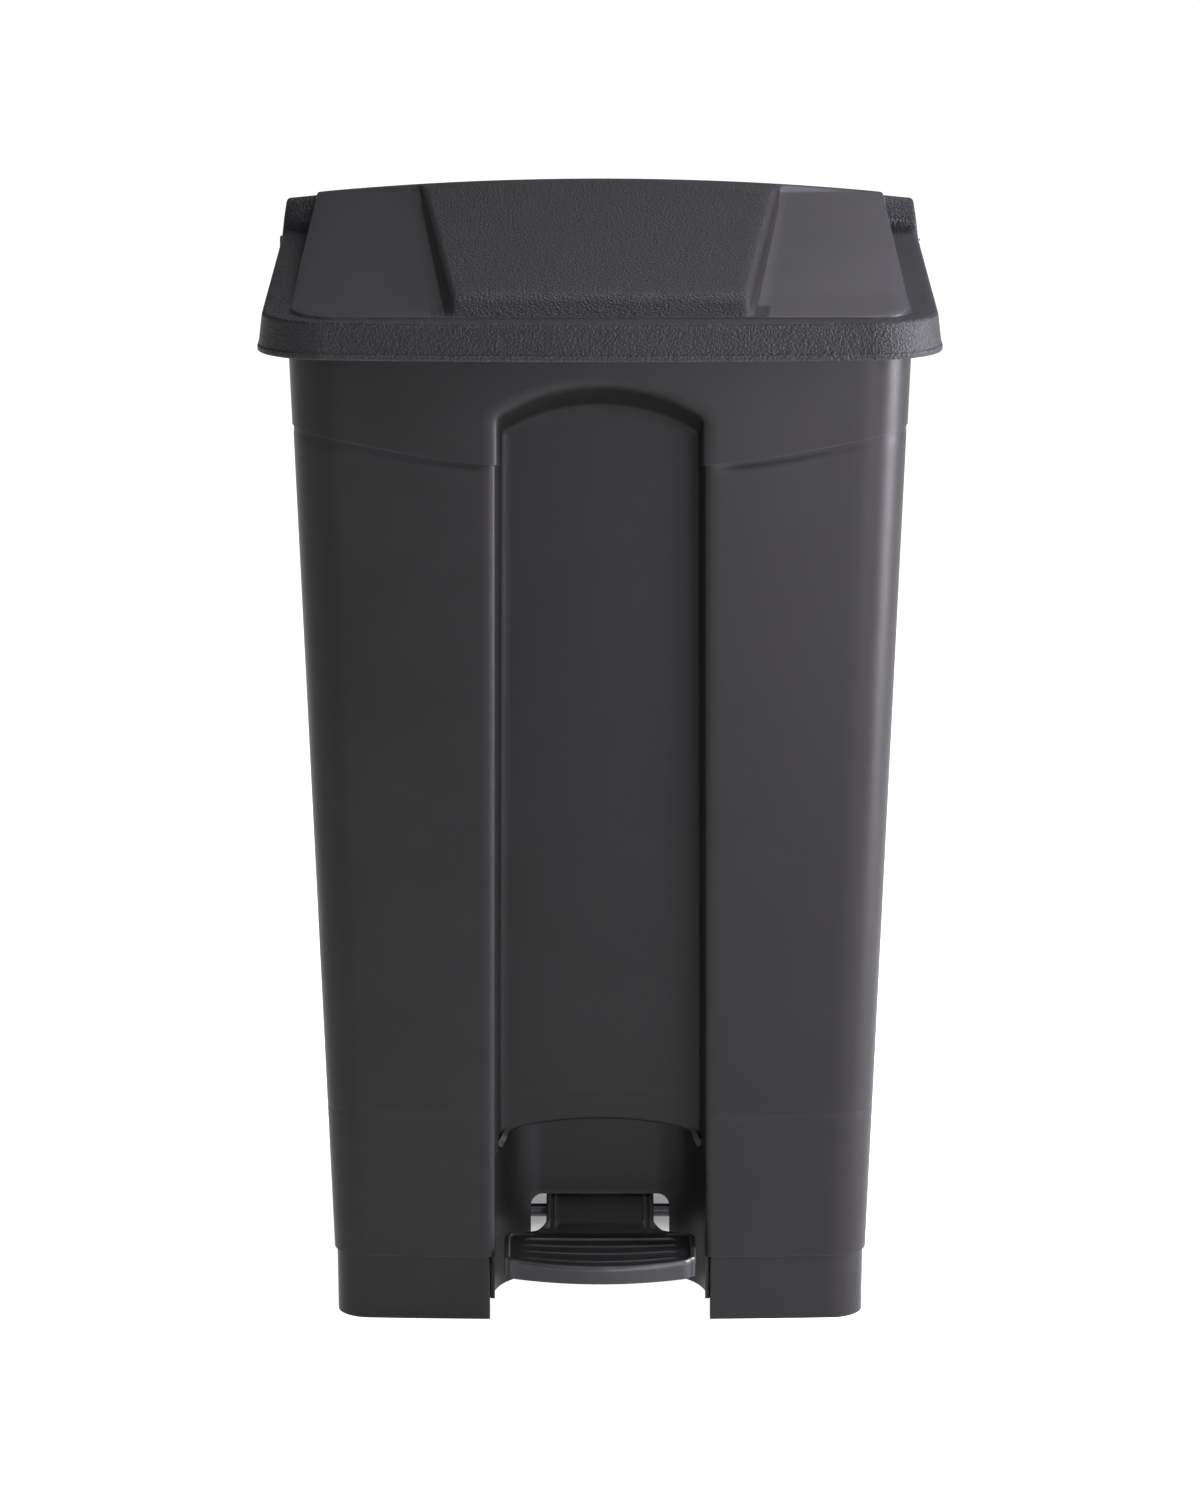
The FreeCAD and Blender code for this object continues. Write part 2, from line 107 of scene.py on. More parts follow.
def build(name, parts, body, node, mats, mirror=True):
    """One object from several closed or solidified meshes. parts: (Mesh, solidify in mm or 0)."""
    out = bmesh.new()
    edge = out.verts.layers.float.new("edge")
    for part, thick in parts:
        me = bpy.data.meshes.new("tmp")
        me.from_pydata([tuple(c * MM for c in p) for p in part.v], [], part.f)
        for p, m in zip(me.polygons, part.m):
            p.material_index = m
        b = bmesh.new()
        b.from_mesh(me)
        if mirror:
            twin = bmesh.ops.duplicate(b, geom=b.verts[:] + b.edges[:] + b.faces[:])["geom"]
            vs = [g for g in twin if isinstance(g, bmesh.types.BMVert)]
            fs = [g for g in twin if isinstance(g, bmesh.types.BMFace)]
            for v in vs:
                v.co.x = -v.co.x
            bmesh.ops.reverse_faces(b, faces=fs)
        bmesh.ops.remove_doubles(b, verts=b.verts[:], dist=4e-5)
        bmesh.ops.dissolve_degenerate(b, edges=b.edges[:], dist=1e-6)
        bmesh.ops.recalc_face_normals(b, faces=b.faces[:])
        if thick:
            # the outer skin's normals have to point outwards: the face furthest out along x decides
            far = max(b.faces, key=lambda f: f.calc_center_median().x)
            if far.normal.x < 0:
                bmesh.ops.reverse_faces(b, faces=b.faces[:])
        b.to_mesh(me)
        b.free()
        if thick:
            o = bpy.data.objects.new("tmp", me)
            bpy.context.scene.collection.objects.link(o)
            s = o.modifiers.new("s", "SOLIDIFY")
            s.thickness, s.offset, s.use_even_offset = thick * MM, -1.0, False
            dg = bpy.context.evaluated_depsgraph_get()
            thickened = bpy.data.meshes.new_from_object(o.evaluated_get(dg))
            bpy.data.objects.remove(o)
            bpy.data.meshes.remove(me)
            me = thickened
        n0 = len(out.verts)
        out.from_mesh(me)
        bpy.data.meshes.remove(me)
        out.verts.ensure_lookup_table()
        out.normal_update()
        for v in out.verts[n0:]:
            if not v.link_edges:
                continue
            c = 0.0
            for e in v.link_edges:
                d = v.co - e.other_vert(v).co
                c = max(c, d.normalized().dot(v.normal) if d.length > 1e-7 else 0.0)
            v[edge] = clamp(c * 2.2)
    for f in out.faces:
        f.smooth = True
    me = bpy.data.meshes.new(name)
    out.to_mesh(me)
    out.free()
    me.set_sharp_from_angle(angle=math.radians(48))
    o = bpy.data.objects.new(name, me)
    bpy.context.scene.collection.objects.link(o)
    for m in mats:
        me.materials.append(m)
    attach(o, body)
    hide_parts(node)
    return o


# ------------------------------------------------------------------ materials
def material(name, base, dark, rough, metallic=0.0, grain=0.0, grain_size=1400.0, mottle=0.25, spec=0.5,
             wear=0.35, wear_colour=None, streak=None, coarse=0.0, coarse_size=60.0, coat=0.0, rough_var=0.04, bump=0.0004):
    """Moulded or metal finish: colour variation, fine grain, long brushing, worn edges."""
    m = bpy.data.materials.new(name)
    m.use_nodes = True
    n, l = m.node_tree.nodes, m.node_tree.links
    n.clear()
    out = n.new("ShaderNodeOutputMaterial")
    p = n.new("ShaderNodeBsdfPrincipled")
    l.new(p.outputs[0], out.inputs[0])
    tc = n.new("ShaderNodeTexCoord")
    mp = n.new("ShaderNodeMapping")
    l.new(tc.outputs["Object"], mp.inputs[0])
    if streak:
        mp.inputs["Scale"].default_value = streak
    big = n.new("ShaderNodeTexNoise")
    big.inputs["Scale"].default_value, big.inputs["Detail"].default_value, big.inputs["Roughness"].default_value = 9.0, 6.0, 0.6
    l.new(tc.outputs["Object"], big.inputs[0])
    fine = n.new("ShaderNodeTexNoise")
    fine.inputs["Scale"].default_value, fine.inputs["Detail"].default_value, fine.inputs["Roughness"].default_value = grain_size, 3.0, 0.55
    l.new(mp.outputs[0], fine.inputs[0])
    ramp = n.new("ShaderNodeValToRGB")
    ramp.color_ramp.elements[0].position, ramp.color_ramp.elements[0].color = 0.5 - mottle, (*dark, 1)
    ramp.color_ramp.elements[1].position, ramp.color_ramp.elements[1].color = 0.5 + mottle, (*base, 1)
    l.new(big.outputs[0], ramp.inputs[0])
    speck = n.new("ShaderNodeMix")
    speck.data_type, speck.blend_type = "RGBA", "OVERLAY"
    speck.inputs[0].default_value = 0.16
    l.new(ramp.outputs[0], speck.inputs[6])
    l.new(fine.outputs[0], speck.inputs[7])
    worn = n.new("ShaderNodeMix")
    worn.data_type = "RGBA"
    l.new(speck.outputs[2], worn.inputs[6])
    wc = wear_colour or tuple(min(1.0, c * 1.6 + 0.015) for c in base)
    worn.inputs[7].default_value = (*wc, 1)
    at = n.new("ShaderNodeAttribute")
    at.attribute_name = "edge"
    patch = n.new("ShaderNodeTexNoise")
    patch.inputs["Scale"].default_value, patch.inputs["Detail"].default_value = 55.0, 4.0
    l.new(tc.outputs["Object"], patch.inputs[0])
    mul = n.new("ShaderNodeMath")
    mul.operation = "MULTIPLY"
    l.new(at.outputs["Fac"], mul.inputs[0])
    l.new(patch.outputs[0], mul.inputs[1])
    mul2 = n.new("ShaderNodeMath")
    mul2.operation = "MULTIPLY"
    mul2.inputs[1].default_value = wear
    l.new(mul.outputs[0], mul2.inputs[0])
    l.new(mul2.outputs[0], worn.inputs[0])
    l.new(worn.outputs[2], p.inputs["Base Color"])
    rv = n.new("ShaderNodeMapRange")
    rv.inputs[1].default_value, rv.inputs[2].default_value = 0.3, 0.7
    rv.inputs[3].default_value, rv.inputs[4].default_value = rough - rough_var, rough + rough_var
    l.new(big.outputs[0], rv.inputs[0])
    l.new(rv.outputs[0], p.inputs["Roughness"])
    p.inputs["Metallic"].default_value = metallic
    p.inputs["Specular IOR Level"].default_value = spec
    p.inputs["Coat Weight"].default_value = coat
    b1 = n.new("ShaderNodeBump")
    b1.inputs["Strength"].default_value, b1.inputs["Distance"].default_value = grain, bump
    l.new(fine.outputs[0], b1.inputs["Height"])
    if coarse:
        peel = n.new("ShaderNodeTexNoise")
        peel.inputs["Scale"].default_value, peel.inputs["Detail"].default_value = coarse_size, 2.0
        l.new(mp.outputs[0], peel.inputs[0])
        b2 = n.new("ShaderNodeBump")
        b2.inputs["Strength"].default_value, b2.inputs["Distance"].default_value = coarse, 0.0015
        l.new(peel.outputs[0], b2.inputs["Height"])
        l.new(b2.outputs[0], b1.inputs["Normal"])
    l.new(b1.outputs[0], p.inputs["Normal"])
    return m


M_BODY = material("body_plastic", (0.0090, 0.0084, 0.0083), (0.0068, 0.0064, 0.0063), 0.40, grain=0.10, grain_size=900, spec=0.15, coarse=0.05, coarse_size=45, wear=0.45, wear_colour=(0.050, 0.048, 0.050))
M_LID = material("lid_plastic", (0.0190, 0.0175, 0.0203), (0.0155, 0.0143, 0.0166), 0.40, grain=0.10, grain_size=1200, spec=0.26, coarse=0.03, coarse_size=40, wear=0.35, wear_colour=(0.10, 0.097, 0.105), mottle=0.5, rough_var=0.025)
M_LID_STIPPLE = material("lid_plastic_stippled", (0.0092, 0.0086, 0.0098), (0.0060, 0.0056, 0.0064), 0.44, grain=1.0, grain_size=560, spec=0.20, wear=0.5, wear_colour=(0.10, 0.097, 0.105), mottle=0.5, rough_var=0.03, bump=0.0013)
M_PEDAL = material("pedal_plastic", (0.0085, 0.0081, 0.0081), (0.0060, 0.0058, 0.0058), 0.32, grain=0.25, grain_size=1000, spec=0.30, wear=0.6, wear_colour=(0.09, 0.09, 0.09))
# a lighter copy of the pedal plastic, used on the pedal's front wall and on its side walls and underside towards the
# front
M_PEDAL_RIM = material("pedal_plastic_lighter_walls", (0.016, 0.0153, 0.0165), (0.011, 0.0106, 0.0113), 0.30, grain=0.25, grain_size=900, spec=0.24, wear=0.6, wear_colour=(0.14, 0.14, 0.14), mottle=0.18)
M_NYLON = material("nylon", (0.62, 0.60, 0.54), (0.50, 0.48, 0.42), 0.45, grain=0.2, grain_size=900, wear=0.2, wear_colour=(0.75, 0.74, 0.7))
M_BLACK = material("black_plastic", (0.020, 0.020, 0.020), (0.012, 0.012, 0.012), 0.4, grain=0.3, grain_size=900)
M_RUBBER = material("rubber", (0.016, 0.016, 0.017), (0.010, 0.010, 0.011), 0.72, grain=0.6, grain_size=700, spec=0.3)
M_STEEL = material("steel", (0.62, 0.62, 0.64), (0.48, 0.48, 0.50), 0.28, metallic=1.0, grain=0.35, grain_size=300, streak=(0.06, 6, 6), wear_colour=(0.8, 0.8, 0.82))
M_BLACK_STEEL = material("black_steel", (0.022, 0.022, 0.024), (0.012, 0.012, 0.013), 0.34, metallic=0.3, grain=0.25, grain_size=400, streak=(0.08, 5, 5), wear_colour=(0.12, 0.12, 0.12))
M_ZINC = material("zinc_steel", (0.50, 0.51, 0.53), (0.34, 0.35, 0.37), 0.36, metallic=1.0, grain=0.3, grain_size=240, mottle=0.12, wear_colour=(0.7, 0.7, 0.72))
M_SPRING = material("spring_steel", (0.14, 0.14, 0.16), (0.07, 0.07, 0.085), 0.3, metallic=1.0, grain=0.3, grain_size=500)

NODE_MATERIAL = {
    "lid_hinge_bushes": M_NYLON, "hinge_rod": M_STEEL, "hinge_rod_cap": M_BLACK, "lid_lever": M_ZINC, "lid_lever_screws": M_STEEL,
    "lift_rod": M_ZINC, "rod_top_clip": M_SPRING, "rod_bottom_clip": M_SPRING, "rod_guides": M_NYLON, "rod_guide_screws": M_STEEL,
    "pedal_bushes": M_NYLON, "pedal_axle": M_BLACK_STEEL, "axle_clips": M_SPRING, "pedal_arm": M_ZINC, "pedal_arm_screws": M_STEEL,
    "arm_stop": M_RUBBER, "lid_bumpers": M_RUBBER,
}
for node, m in NODE_MATERIAL.items():
    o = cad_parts[node]
    if not o.material_slots:
        o.data.materials.append(m)
    for s in o.material_slots:
        s.material = m


# ------------------------------------------------------------------ body
R1, R2 = 4.5, 4.0            # fillets at the channel's edge and floor
NA, NE, NF, NG, NH, NI = 15, 16, 12, 16, 10, 8
YOKE = [(74, 668), (85, 668.5), (96, 669.6), (108, 670.9), (120, 672.4), (134, 674.6), (149, 677.2), (163, 679.8), (177, 682.4),
        (191, 685.2), (205, 688.2), (215, 690.3), (224, 692)]
B_WALL = [5.2, 8, 13, 18, 23, 28, 32, 36]


def inset(z):
    if z >= 50.3:
        return 0.0
    return 2.0 - 0.008 * (z - 50)


def o_half(z):
    """Half-width of the channel at the front face."""
    if z < 668:
        return lerp(80.2, 76.8, (z - 51) / (668 - 51.0)) if z > 51 else 80.2
    return lerp(74.8, 74.8, 0)


def z_in(z):
    """Height on the channel's floor that goes with height z at the front face."""
    return z if z < 640 else 640 + (z - 640) * (682.5 - 640) / (699.5 - 640)


def i_half(z):
    return lerp(77.6, 73.0, z / 682.5)


def outline(z, kind, t, relief=0.0):
    """Point of the body's outline at height z. kind: front (x given), corner, side, back corner, back (t from 0 to 1)."""
    d = inset(z)
    zz = max(z, 50.0)
    h, r = hx(zz) - d, rr(zz) - d
    y0, y1 = yf(zz) + d, yr(zz) - d
    ry = 1.6 * relief
    rx = 0.6 * relief
    th = 0.05
    cx = h - r
    xt = cx + r * sin(th)
    cy = y0 + BOW + r * cos(th)
    if kind == "front":
        x = t
        ryx = ry * (1 - 0.5 * smooth((abs(x) - 90) / 120))
        return (x, cy - r * cos(th) - BOW * (1 - (x / xt) ** 2) - ryx, z)
    if kind == "xt":
        return xt
    if kind == "corner":
        a = lerp(-pi / 2 + th, 0, t)
        return (cx + (r + lerp(ry * 0.5, rx, t)) * cos(a), cy + (r + lerp(ry * 0.5, rx, t)) * sin(a), z)
    if kind == "side":
        return (h + rx, lerp(cy, y1 - r, t), z)
    if kind == "bcorner":
        a = lerp(0, pi / 2, t)
        return (cx + (r + rx) * cos(a), y1 - r + (r + rx) * sin(a), z)
    if kind == "back":
        return (lerp(cx, 39.0, t), y1 + rx, z)


U_X = [0, 7, 14, 21, 28, 35, 41, 44, 47, 50, 53]
U_ANG = [26, 37, 48, 59, 70]
U_B = [75, 80, 85, 90]


def u_plan(x=None, ang=None):
    if ang is not None:
        a = math.radians(ang)
        return (44 + 37.3 * sin(a), -140 + 50 * cos(a))
    if x <= 44:
        return (x, -90.0)
    return (x, -140 + 50 * sqrt(max(0.0, 1 - ((x - 44) / 37.3) ** 2)))


def zarch(x):
    x = min(abs(x), 79)
    return 148.3 - 11 * (x / 79) ** 2 - (14 * ((x - 60) / 19) ** 2.2 if x > 60 else 0.0)


def wall(z, zi, b, o, i, m, r1=R1):
    """Point of the channel's wall at depth b. o and i: (x, z) on the front and floor outlines; m: unit vector into the material."""
    x = lerp(o[0], i[0], b / 40)
    zz = lerp(o[1], i[1], b / 40)
    s = 0.0
    if b < r1:
        s = r1 - sqrt(max(0.0, r1 * r1 - (r1 - b) ** 2))
    if b > 40 - R2:
        s = -(R2 - sqrt(max(0.0, R2 * R2 - (b - (40 - R2)) ** 2)))
    return x + m[0] * s, zz + m[1] * s


def front_y(x, z, relief=0.0):
    return outline(z, "front", x, relief)[1]


def d_and_c(o, i, m, zb, relief, notch=False, soft=0.0):
    """Columns from the floor's fillet out to the front face: B, C and D."""
    pts = []
    for k in range(5):                       # floor fillet, from the floor outwards
        b = 40 - R2 + R2 * sin(pi / 2 * (1 - k / 4))
        x, z = wall(zb, zb, b, o, i, m)
        pts.append((x, b, z))
    r1 = 1.6 if notch else R1 + soft
    for b in reversed(B_WALL[:-1]):
        b = lerp(r1 + 0.7, 36, (b - 5.2) / 30.8) if soft else b
        x, z = wall(zb, zb, b, o, i, m, r1)
        pts.append((x, b, z))
    for k in range(5):                       # edge fillet
        q = pi / 2 * k / 4
        b = r1 * (1 - sin(q)) if k else 4.5 + soft
        if k == 0:
            x, z = wall(zb, zb, 4.5 + soft, o, i, m, R1)
            if notch:
                x = 83.5
        else:
            x0, z0 = lerp(o[0], i[0], b / 40), lerp(o[1], i[1], b / 40)
            s = r1 * (1 - cos(q))
            x, z = x0 + m[0] * s, z0 + m[1] * s
            if notch:
                x = 83.5 + s
        pts.append((x, b, z))
    out = []
    for x, b, z in pts:
        y0 = yf(max(z, 50)) + (inset(z) if b < 5 else 0)
        bow = BOW * (x / outline(max(z, 50), "xt", 0)) ** 2 * clamp(1 - b / 6)
        ry = 1.6 * relief * clamp(1 - b / (5 + soft))
        out.append((x, y0 + b + bow - ry, z))
    return out


def yoke_z(x):
    return interp(x, YOKE)


def rear_cols(z, relief):
    """Corner, side, back corner, back and rear channel columns."""
    out = [outline(z, "corner", k / NF, relief) for k in range(1, NF + 1)]
    out += [outline(z, "side", k / NG, relief) for k in range(1, NG + 1)]
    out += [outline(z, "bcorner", k / NH, relief) for k in range(1, NH + 1)]
    out += [outline(z, "back", k / NI, relief) for k in range(1, NI + 1)]
    y1 = out[-1][1]
    for k in (1, 2, 3):
        a = pi / 2 * k / 3
        out.append((39 - 4 * sin(a), y1 - 4 * (1 - cos(a)), z))
    for k in (1, 2, 3):
        out.append((35.0, lerp(y1 - 4, 131.0, k / 3), z))
    for k in (1, 2, 3):
        a = pi / 2 * k / 3
        out.append((35 - 3 * (1 - cos(a)), 131 - 3 * sin(a), z))
    for x in (24, 18, 9, 0):
        out.append((x, 128.0, z))
    return out


def body_row(z, f=None, recess=False):
    """One row of the outer skin's right half. f: fraction up the yoke's lower part."""
    notch = z < 50.3 and f is None
    if f is None:
        o, i = (o_half(z), z), (i_half(z_in(z)), z_in(z))
        bend = clamp((z - 560) / 108.0)
        relief = 0.0
    else:
        zo = 668 + 31.5 * f
        o, i = (74.8, zo), (i_half(z_in(zo)), z_in(zo))
        relief = 1.0
    row = d_and_c(o, i, (1, 0), z, relief, notch)
    xs, ys, zs = row[-1]
    # floor columns
    fl = row[0]
    a = [(fl[0] * k / NA, yf(fl[2]) + 40, fl[2]) for k in range(NA)]
    if recess:
        full = [u_plan(x=x) for x in U_X] + [u_plan(ang=g) for g in U_ANG]
        a, b = full[:NA], [full[NA]] + [u_plan(ang=g) for g in U_B]
        a = [(p[0], p[1], z) for p in a]
        new = [(p[0], p[1], z) for p in b]
        cs = row[5:]
        for k, p in enumerate(cs):
            bdep = B_WALL[::-1][1:][k] if k < 7 else None
            if bdep is not None:
                yy = lerp(-140.0, yf(max(z, 50)) + 5.2, (k + 1) / 7.0)
                new.append((lerp(81.3, cs[6][0], (k + 1) / 7.0), yy, z))
            else:
                new.append(p)
        row = new
    # lower the arch into the rows near it
    if f is None and z < 230:
        fade = smooth(1 - (z - 134.3) / 80.0) if z > 134.3 else smooth((z - 90) / 44.3)
        lift = 0.0

        def bump(p, w=1.0):
            return (p[0], p[1], p[2] + (zarch(p[0]) - 134.3) * fade * w)
        a = [bump(p) for p in a]
        row = [bump(p, 1.0 if k < 5 else smooth((12 - k) / 8.0)) if k < 12 else p for k, p in enumerate(row)]
    # front face
    if f is None:
        xt = outline(z, "xt", 0)
        e = []
        dip = -1.3 * smooth((z - 660.5) / 5.5)
        for k in range(1, NE + 1):
            x = lerp(xs, xt, k / NE)
            zz = z + (yoke_z(x) - 668) * bend
            rel = dip * smooth((k + 0.5) / 3.0)
            e.append((x, front_y(x, zz, rel / 1.6) if k < NE else outline(zz, "front", outline(zz, "xt", 0), rel / 1.6)[1], zz))
        row += e
        zc = [z + (yoke_z(lerp(xt, hx(z), sin(pi / 2 * k / NF))) - 668) * bend for k in range(1, NF + 1)]
        zside = zc[-1]
        rest = rear_cols(zside, dip * 0.5)
        for k in range(NF):
            rest[k] = outline(zc[k], "corner", (k + 1) / NF, dip * lerp(0.8, 0.5, k / NF))
    else:
        e = []
        for k in range(1, NE + 1):
            t = k / NE
            zl_x = lerp(xs, outline(690, "xt", 0), t)
            zlow = yoke_z(zl_x)
            zhigh = lerp(699.5, 764, t)
            zz = lerp(zlow, zhigh, f)
            x = lerp(xs, outline(zz, "xt", 0), t)
            e.append((x, front_y(x, zz, 1.0), zz))
        row += e
        rest = []
        zc = []
        for k in range(1, NF + 1):
            zlow = yoke_z(lerp(outline(690, "xt", 0), 225.5, sin(pi / 2 * k / NF)))
            zc.append(lerp(zlow, 764, f))
        rest = rear_cols(zc[-1], 1.0)
        for k in range(NF):
            rest[k] = outline(zc[k], "corner", (k + 1) / NF, 1.0)
    return a + row + rest


def corner_sub(z):
    return z


body = Mesh()
N_INNER = NA + 5                                 # floor and fillet columns
LOW = [0, 1.2, 4, 9, 16, 23, 31, 40, 47, 49.4, 50.25, 50.4, 51.2, 54, 61, 68, 72.5, 75.5, 78.5, 81.5, 86, 93, 102, 111, 120, 127, 131, 134.3]
rows_low = [body_row(z, recess=True) for z in LOW]


def hole_corner(row_i):
    """Rounds the neck hole's upper corners, R 9, in the back wall of the recess."""
    z = LOW[row_i]
    if not 72.4 < z < 81.6:
        return
    v = (z - 72.5) / 9.0
    for col, x in ((7, 44), (8, 47), (9, 50), (10, 53)):
        u = (x - 44) / 9.0
        r = max(u, v)
        if r == 0:
            continue
        if u >= v:
            a = pi / 4 * v / u
        else:
            a = pi / 2 - pi / 4 * u / v
        x2, z2 = 44 + 9 * r * cos(a), 72.5 + 9 * r * sin(a)
        y2 = u_plan(x=x2)[1]
        rows_low[row_i][col] = (x2, y2, z2)


for i in range(len(LOW)):
    hole_corner(i)
i16, i81 = LOW.index(16), LOW.index(81.5)
NLOWCUT = NA + 12                                 # columns behind the front skin


def skip_low(i, j):
    if i < i16 and j < NLOWCUT:
        return True
    return j < 10 and i < i81


def slot_rear(i, j):
    return False


# slot in the rear channel's wall for the pedal's arm: the last two columns, z 22..128
n_cols = len(rows_low[0])


def skip_low2(i, j):
    if skip_low(i, j):
        return True
    z0, z1 = LOW[i], LOW[i + 1]
    return j >= n_cols - 3 and z0 >= 22.9 and z1 <= 127.1


body.grid(rows_low, skip=skip_low2)
HIGH = [134.3, 137, 141, 146, 152, 158, 163.4, 164.8, 166.2, 170, 180, 195, 212] + [230 + 15 * k for k in range(22)] + [560, 578, 596, 614, 630, 642, 652, 658, 661.5, 664, 665.6, 666.8, 667.5, 668]
rows_high = [body_row(z) for z in HIGH]


def faint(row, z):
    """A very shallow line round the body at the level of its floor."""
    if abs(z - 164.8) < 0.01:
        return [(p[0] * 0.9992, p[1] * 0.999, p[2]) for p in row]
    return row


rows_high = [faint(r, z) for r, z in zip(rows_high, HIGH)]
# lip fillet above the recess: the lowest row rises on the floor columns
LIP = 3.5
lip_w = [1.0] * NA + [clamp(1 - k / 4.0) for k in range(5)]
low0 = rows_high[0]
base_lip = list(low0)
for j in range(N_INNER):
    for r_i in range(len(HIGH)):
        p = rows_high[r_i][j]
        rise = LIP * lip_w[j] * clamp(1 - (HIGH[r_i] - 134.3) / 40.0)
        rows_high[r_i][j] = (p[0], p[1], p[2] + rise)
ceil_rows = []
top, bot = rows_high[0], rows_low[-1]
for s in range(0, 5):
    q = pi / 2 * s / 4
    row = []
    for j in range(NLOWCUT + 1):
        w = lip_w[j] if j < N_INNER else 0.0
        p, c = top[j], bot[j]
        zb = p[2] - LIP * w
        dx, dy = c[0] - p[0], c[1] - p[1]
        L = math.hypot(dx, dy) or 1.0
        k = LIP * w * (1 - cos(q)) / L
        row.append((p[0] + dx * k, p[1] + dy * k, zb + LIP * w * (1 - sin(q))))
    ceil_rows.append(row)
last = ceil_rows[-1]
for t in (0.33, 0.66, 0.9, 1.0):
    ceil_rows.append([tuple(lerp(a, b, t) for a, b in zip(last[j], bot[j])) for j in range(NLOWCUT + 1)])
body.grid(rows_high)
body.grid(ceil_rows)
FS = [0.0, 0.02, 0.06, 0.14, 0.24, 0.34, 0.44, 0.54, 0.64, 0.74, 0.84, 0.93, 1.0]
rows_yoke = [body_row(692, f) for f in FS]
# small round at the yoke's lower edge
first = rows_yoke[0]
body.grid([rows_high[-1], first])
body.grid(rows_yoke)
# arch rows
M_F, M_A = 3, 12
arch_o, arch_i, arch_m = [], [], []
for k in range(M_F + 1):
    t = k / M_F
    a0, a1 = 0.0, math.atan2(706.2 - 699.5, 71.1 - 66.8)
    a = lerp(a0, a1, t)
    arch_o.append((66.8 + 8 * cos(a), 699.5 + 8 * sin(a)))
    b1 = math.atan2(686.8 - 682.5, 70.5 - 68.0)
    b = lerp(0, b1, t)
    arch_i.append((68 + 5 * cos(b), 682.5 + 5 * sin(b)))
    arch_m.append((cos(a), sin(a)))
for k in range(1, M_A + 1):
    t = k / M_A
    xo, xi = 71.1 * (1 - t), 70.5 * (1 - t)
    zo, zi = 594.4 + sqrt(132.5 ** 2 - xo ** 2), 567 + sqrt(139 ** 2 - xi ** 2)
    arch_o.append((xo, zo))
    arch_i.append((xi, zi))
    arch_m.append((xo / 132.5, (zo - 594.4) / 132.5))
M = M_F + M_A
arch_rows = []
last_row = rows_yoke[-1]
for k in range(M + 1):
    if k == 0:
        r = list(last_row[NA:NA + 5 + 7 + 5 + NE])
        arch_rows.append(r)
        continue
    r = d_and_c(arch_o[k], arch_i[k], arch_m[k], arch_o[k][1], 1.0, soft=1.6 * smooth((k - 1) / 6.0))
    if k == M:
        r = [(0.0, p[1], p[2]) for p in r]
    xs, ys, zs = r[-1]
    xt = outline(764, "xt", 0)
    xb = xt * (1 - k / M)
    for j in range(1, NE + 1):
        t = j / NE
        x, z = lerp(xs, xb, t), lerp(zs, 764, t)
        r.append((x, front_y(x, z, 1.0), z))
    arch_rows.append(r)
body.grid(arch_rows)
# floor below the arch
patch_top = [r[0] for r in arch_rows]
patch_bot = [last_row[NA - j] for j in range(NA + 1)]
patch = [[tuple(lerp(a, b, s / 3) for a, b in zip(patch_bot[j], patch_top[j])) for j in range(NA + 1)] for s in range(4)]
body.grid(patch)

# rim flange, swept along the front and sides
flange = Mesh()
inner, outer = [], []
for k in range(0, 13):
    x = outline(760, "xt", 0) * k / 12
    p = outline(760, "front", x)
    inner.append((p[0], p[1] + 1.5))
    xo_t = 197 + 42 * sin(0.07)
    xo = xo_t * k / 12
    outer.append((xo, -196 + 7 * (xo / xo_t) ** 2))
for k in range(1, 11):
    p = outline(760, "corner", k / 10)
    inner.append((p[0] - 1.5 * sin(pi / 2 * k / 10), p[1] + 1.5 * cos(pi / 2 * k / 10)))
    a = lerp(-pi / 2 + 0.07, 0, k / 10)
    outer.append((197 + 42 * cos(a), -147 + 42 * sin(a)))
for k in range(1, 11):
    y = lerp(-147, 150, k / 10)
    inner.append((hx(760) - 1.5, lerp(inner[22][1], 150, k / 10)))
    outer.append((239.0, y))
sweep = []
for (xi, yi), (xo, yo) in zip(inner, outer):
    L = math.hypot(xo - xi, yo - yi) or 1.0
    ux, uy = (xo - xi) / L, (yo - yi) / L

    def at(d, z):
        return (xo - ux * d, yo - uy * d, z)
    if abs(xi) < 1e-6 and abs(xo) < 1e-6:
        ux, uy = 0.0, -1.0
    sweep.append([(xi, yi, 762.0), at(1.2, 762.0), at(0.35, 761.65), at(0, 760.8), at(0, 751.0), at(0.3, 750.3), at(1.0, 750.0), at(1.6, 750.0),
                  at(2.2, 750.3), at(2.5, 751.0), at(2.5, 756.4), at(3.1, 757.0), (xi, yi, 757.0)])
flange.grid(sweep, closed=True)
flange.poly(sweep[-1])

# bin floor and the hinge ears
plate = Mesh()


def loop_at(z, off):
    r = [p for p in body_row(z)]
    pts = [(p[0], p[1]) for p in r]
    res = []
    for k, p in enumerate(pts):
        a, b = pts[max(k - 1, 0)], pts[min(k + 1, len(pts) - 1)]
        tx, ty = b[0] - a[0], b[1] - a[1]
        L = math.hypot(tx, ty) or 1
        nx, ny = -ty / L, tx / L
        q = (p[0] + nx * off, p[1] + ny * off)
        res.append((0.0 if k in (0, len(pts) - 1) else max(0.0, q[0]), q[1]))
    return res


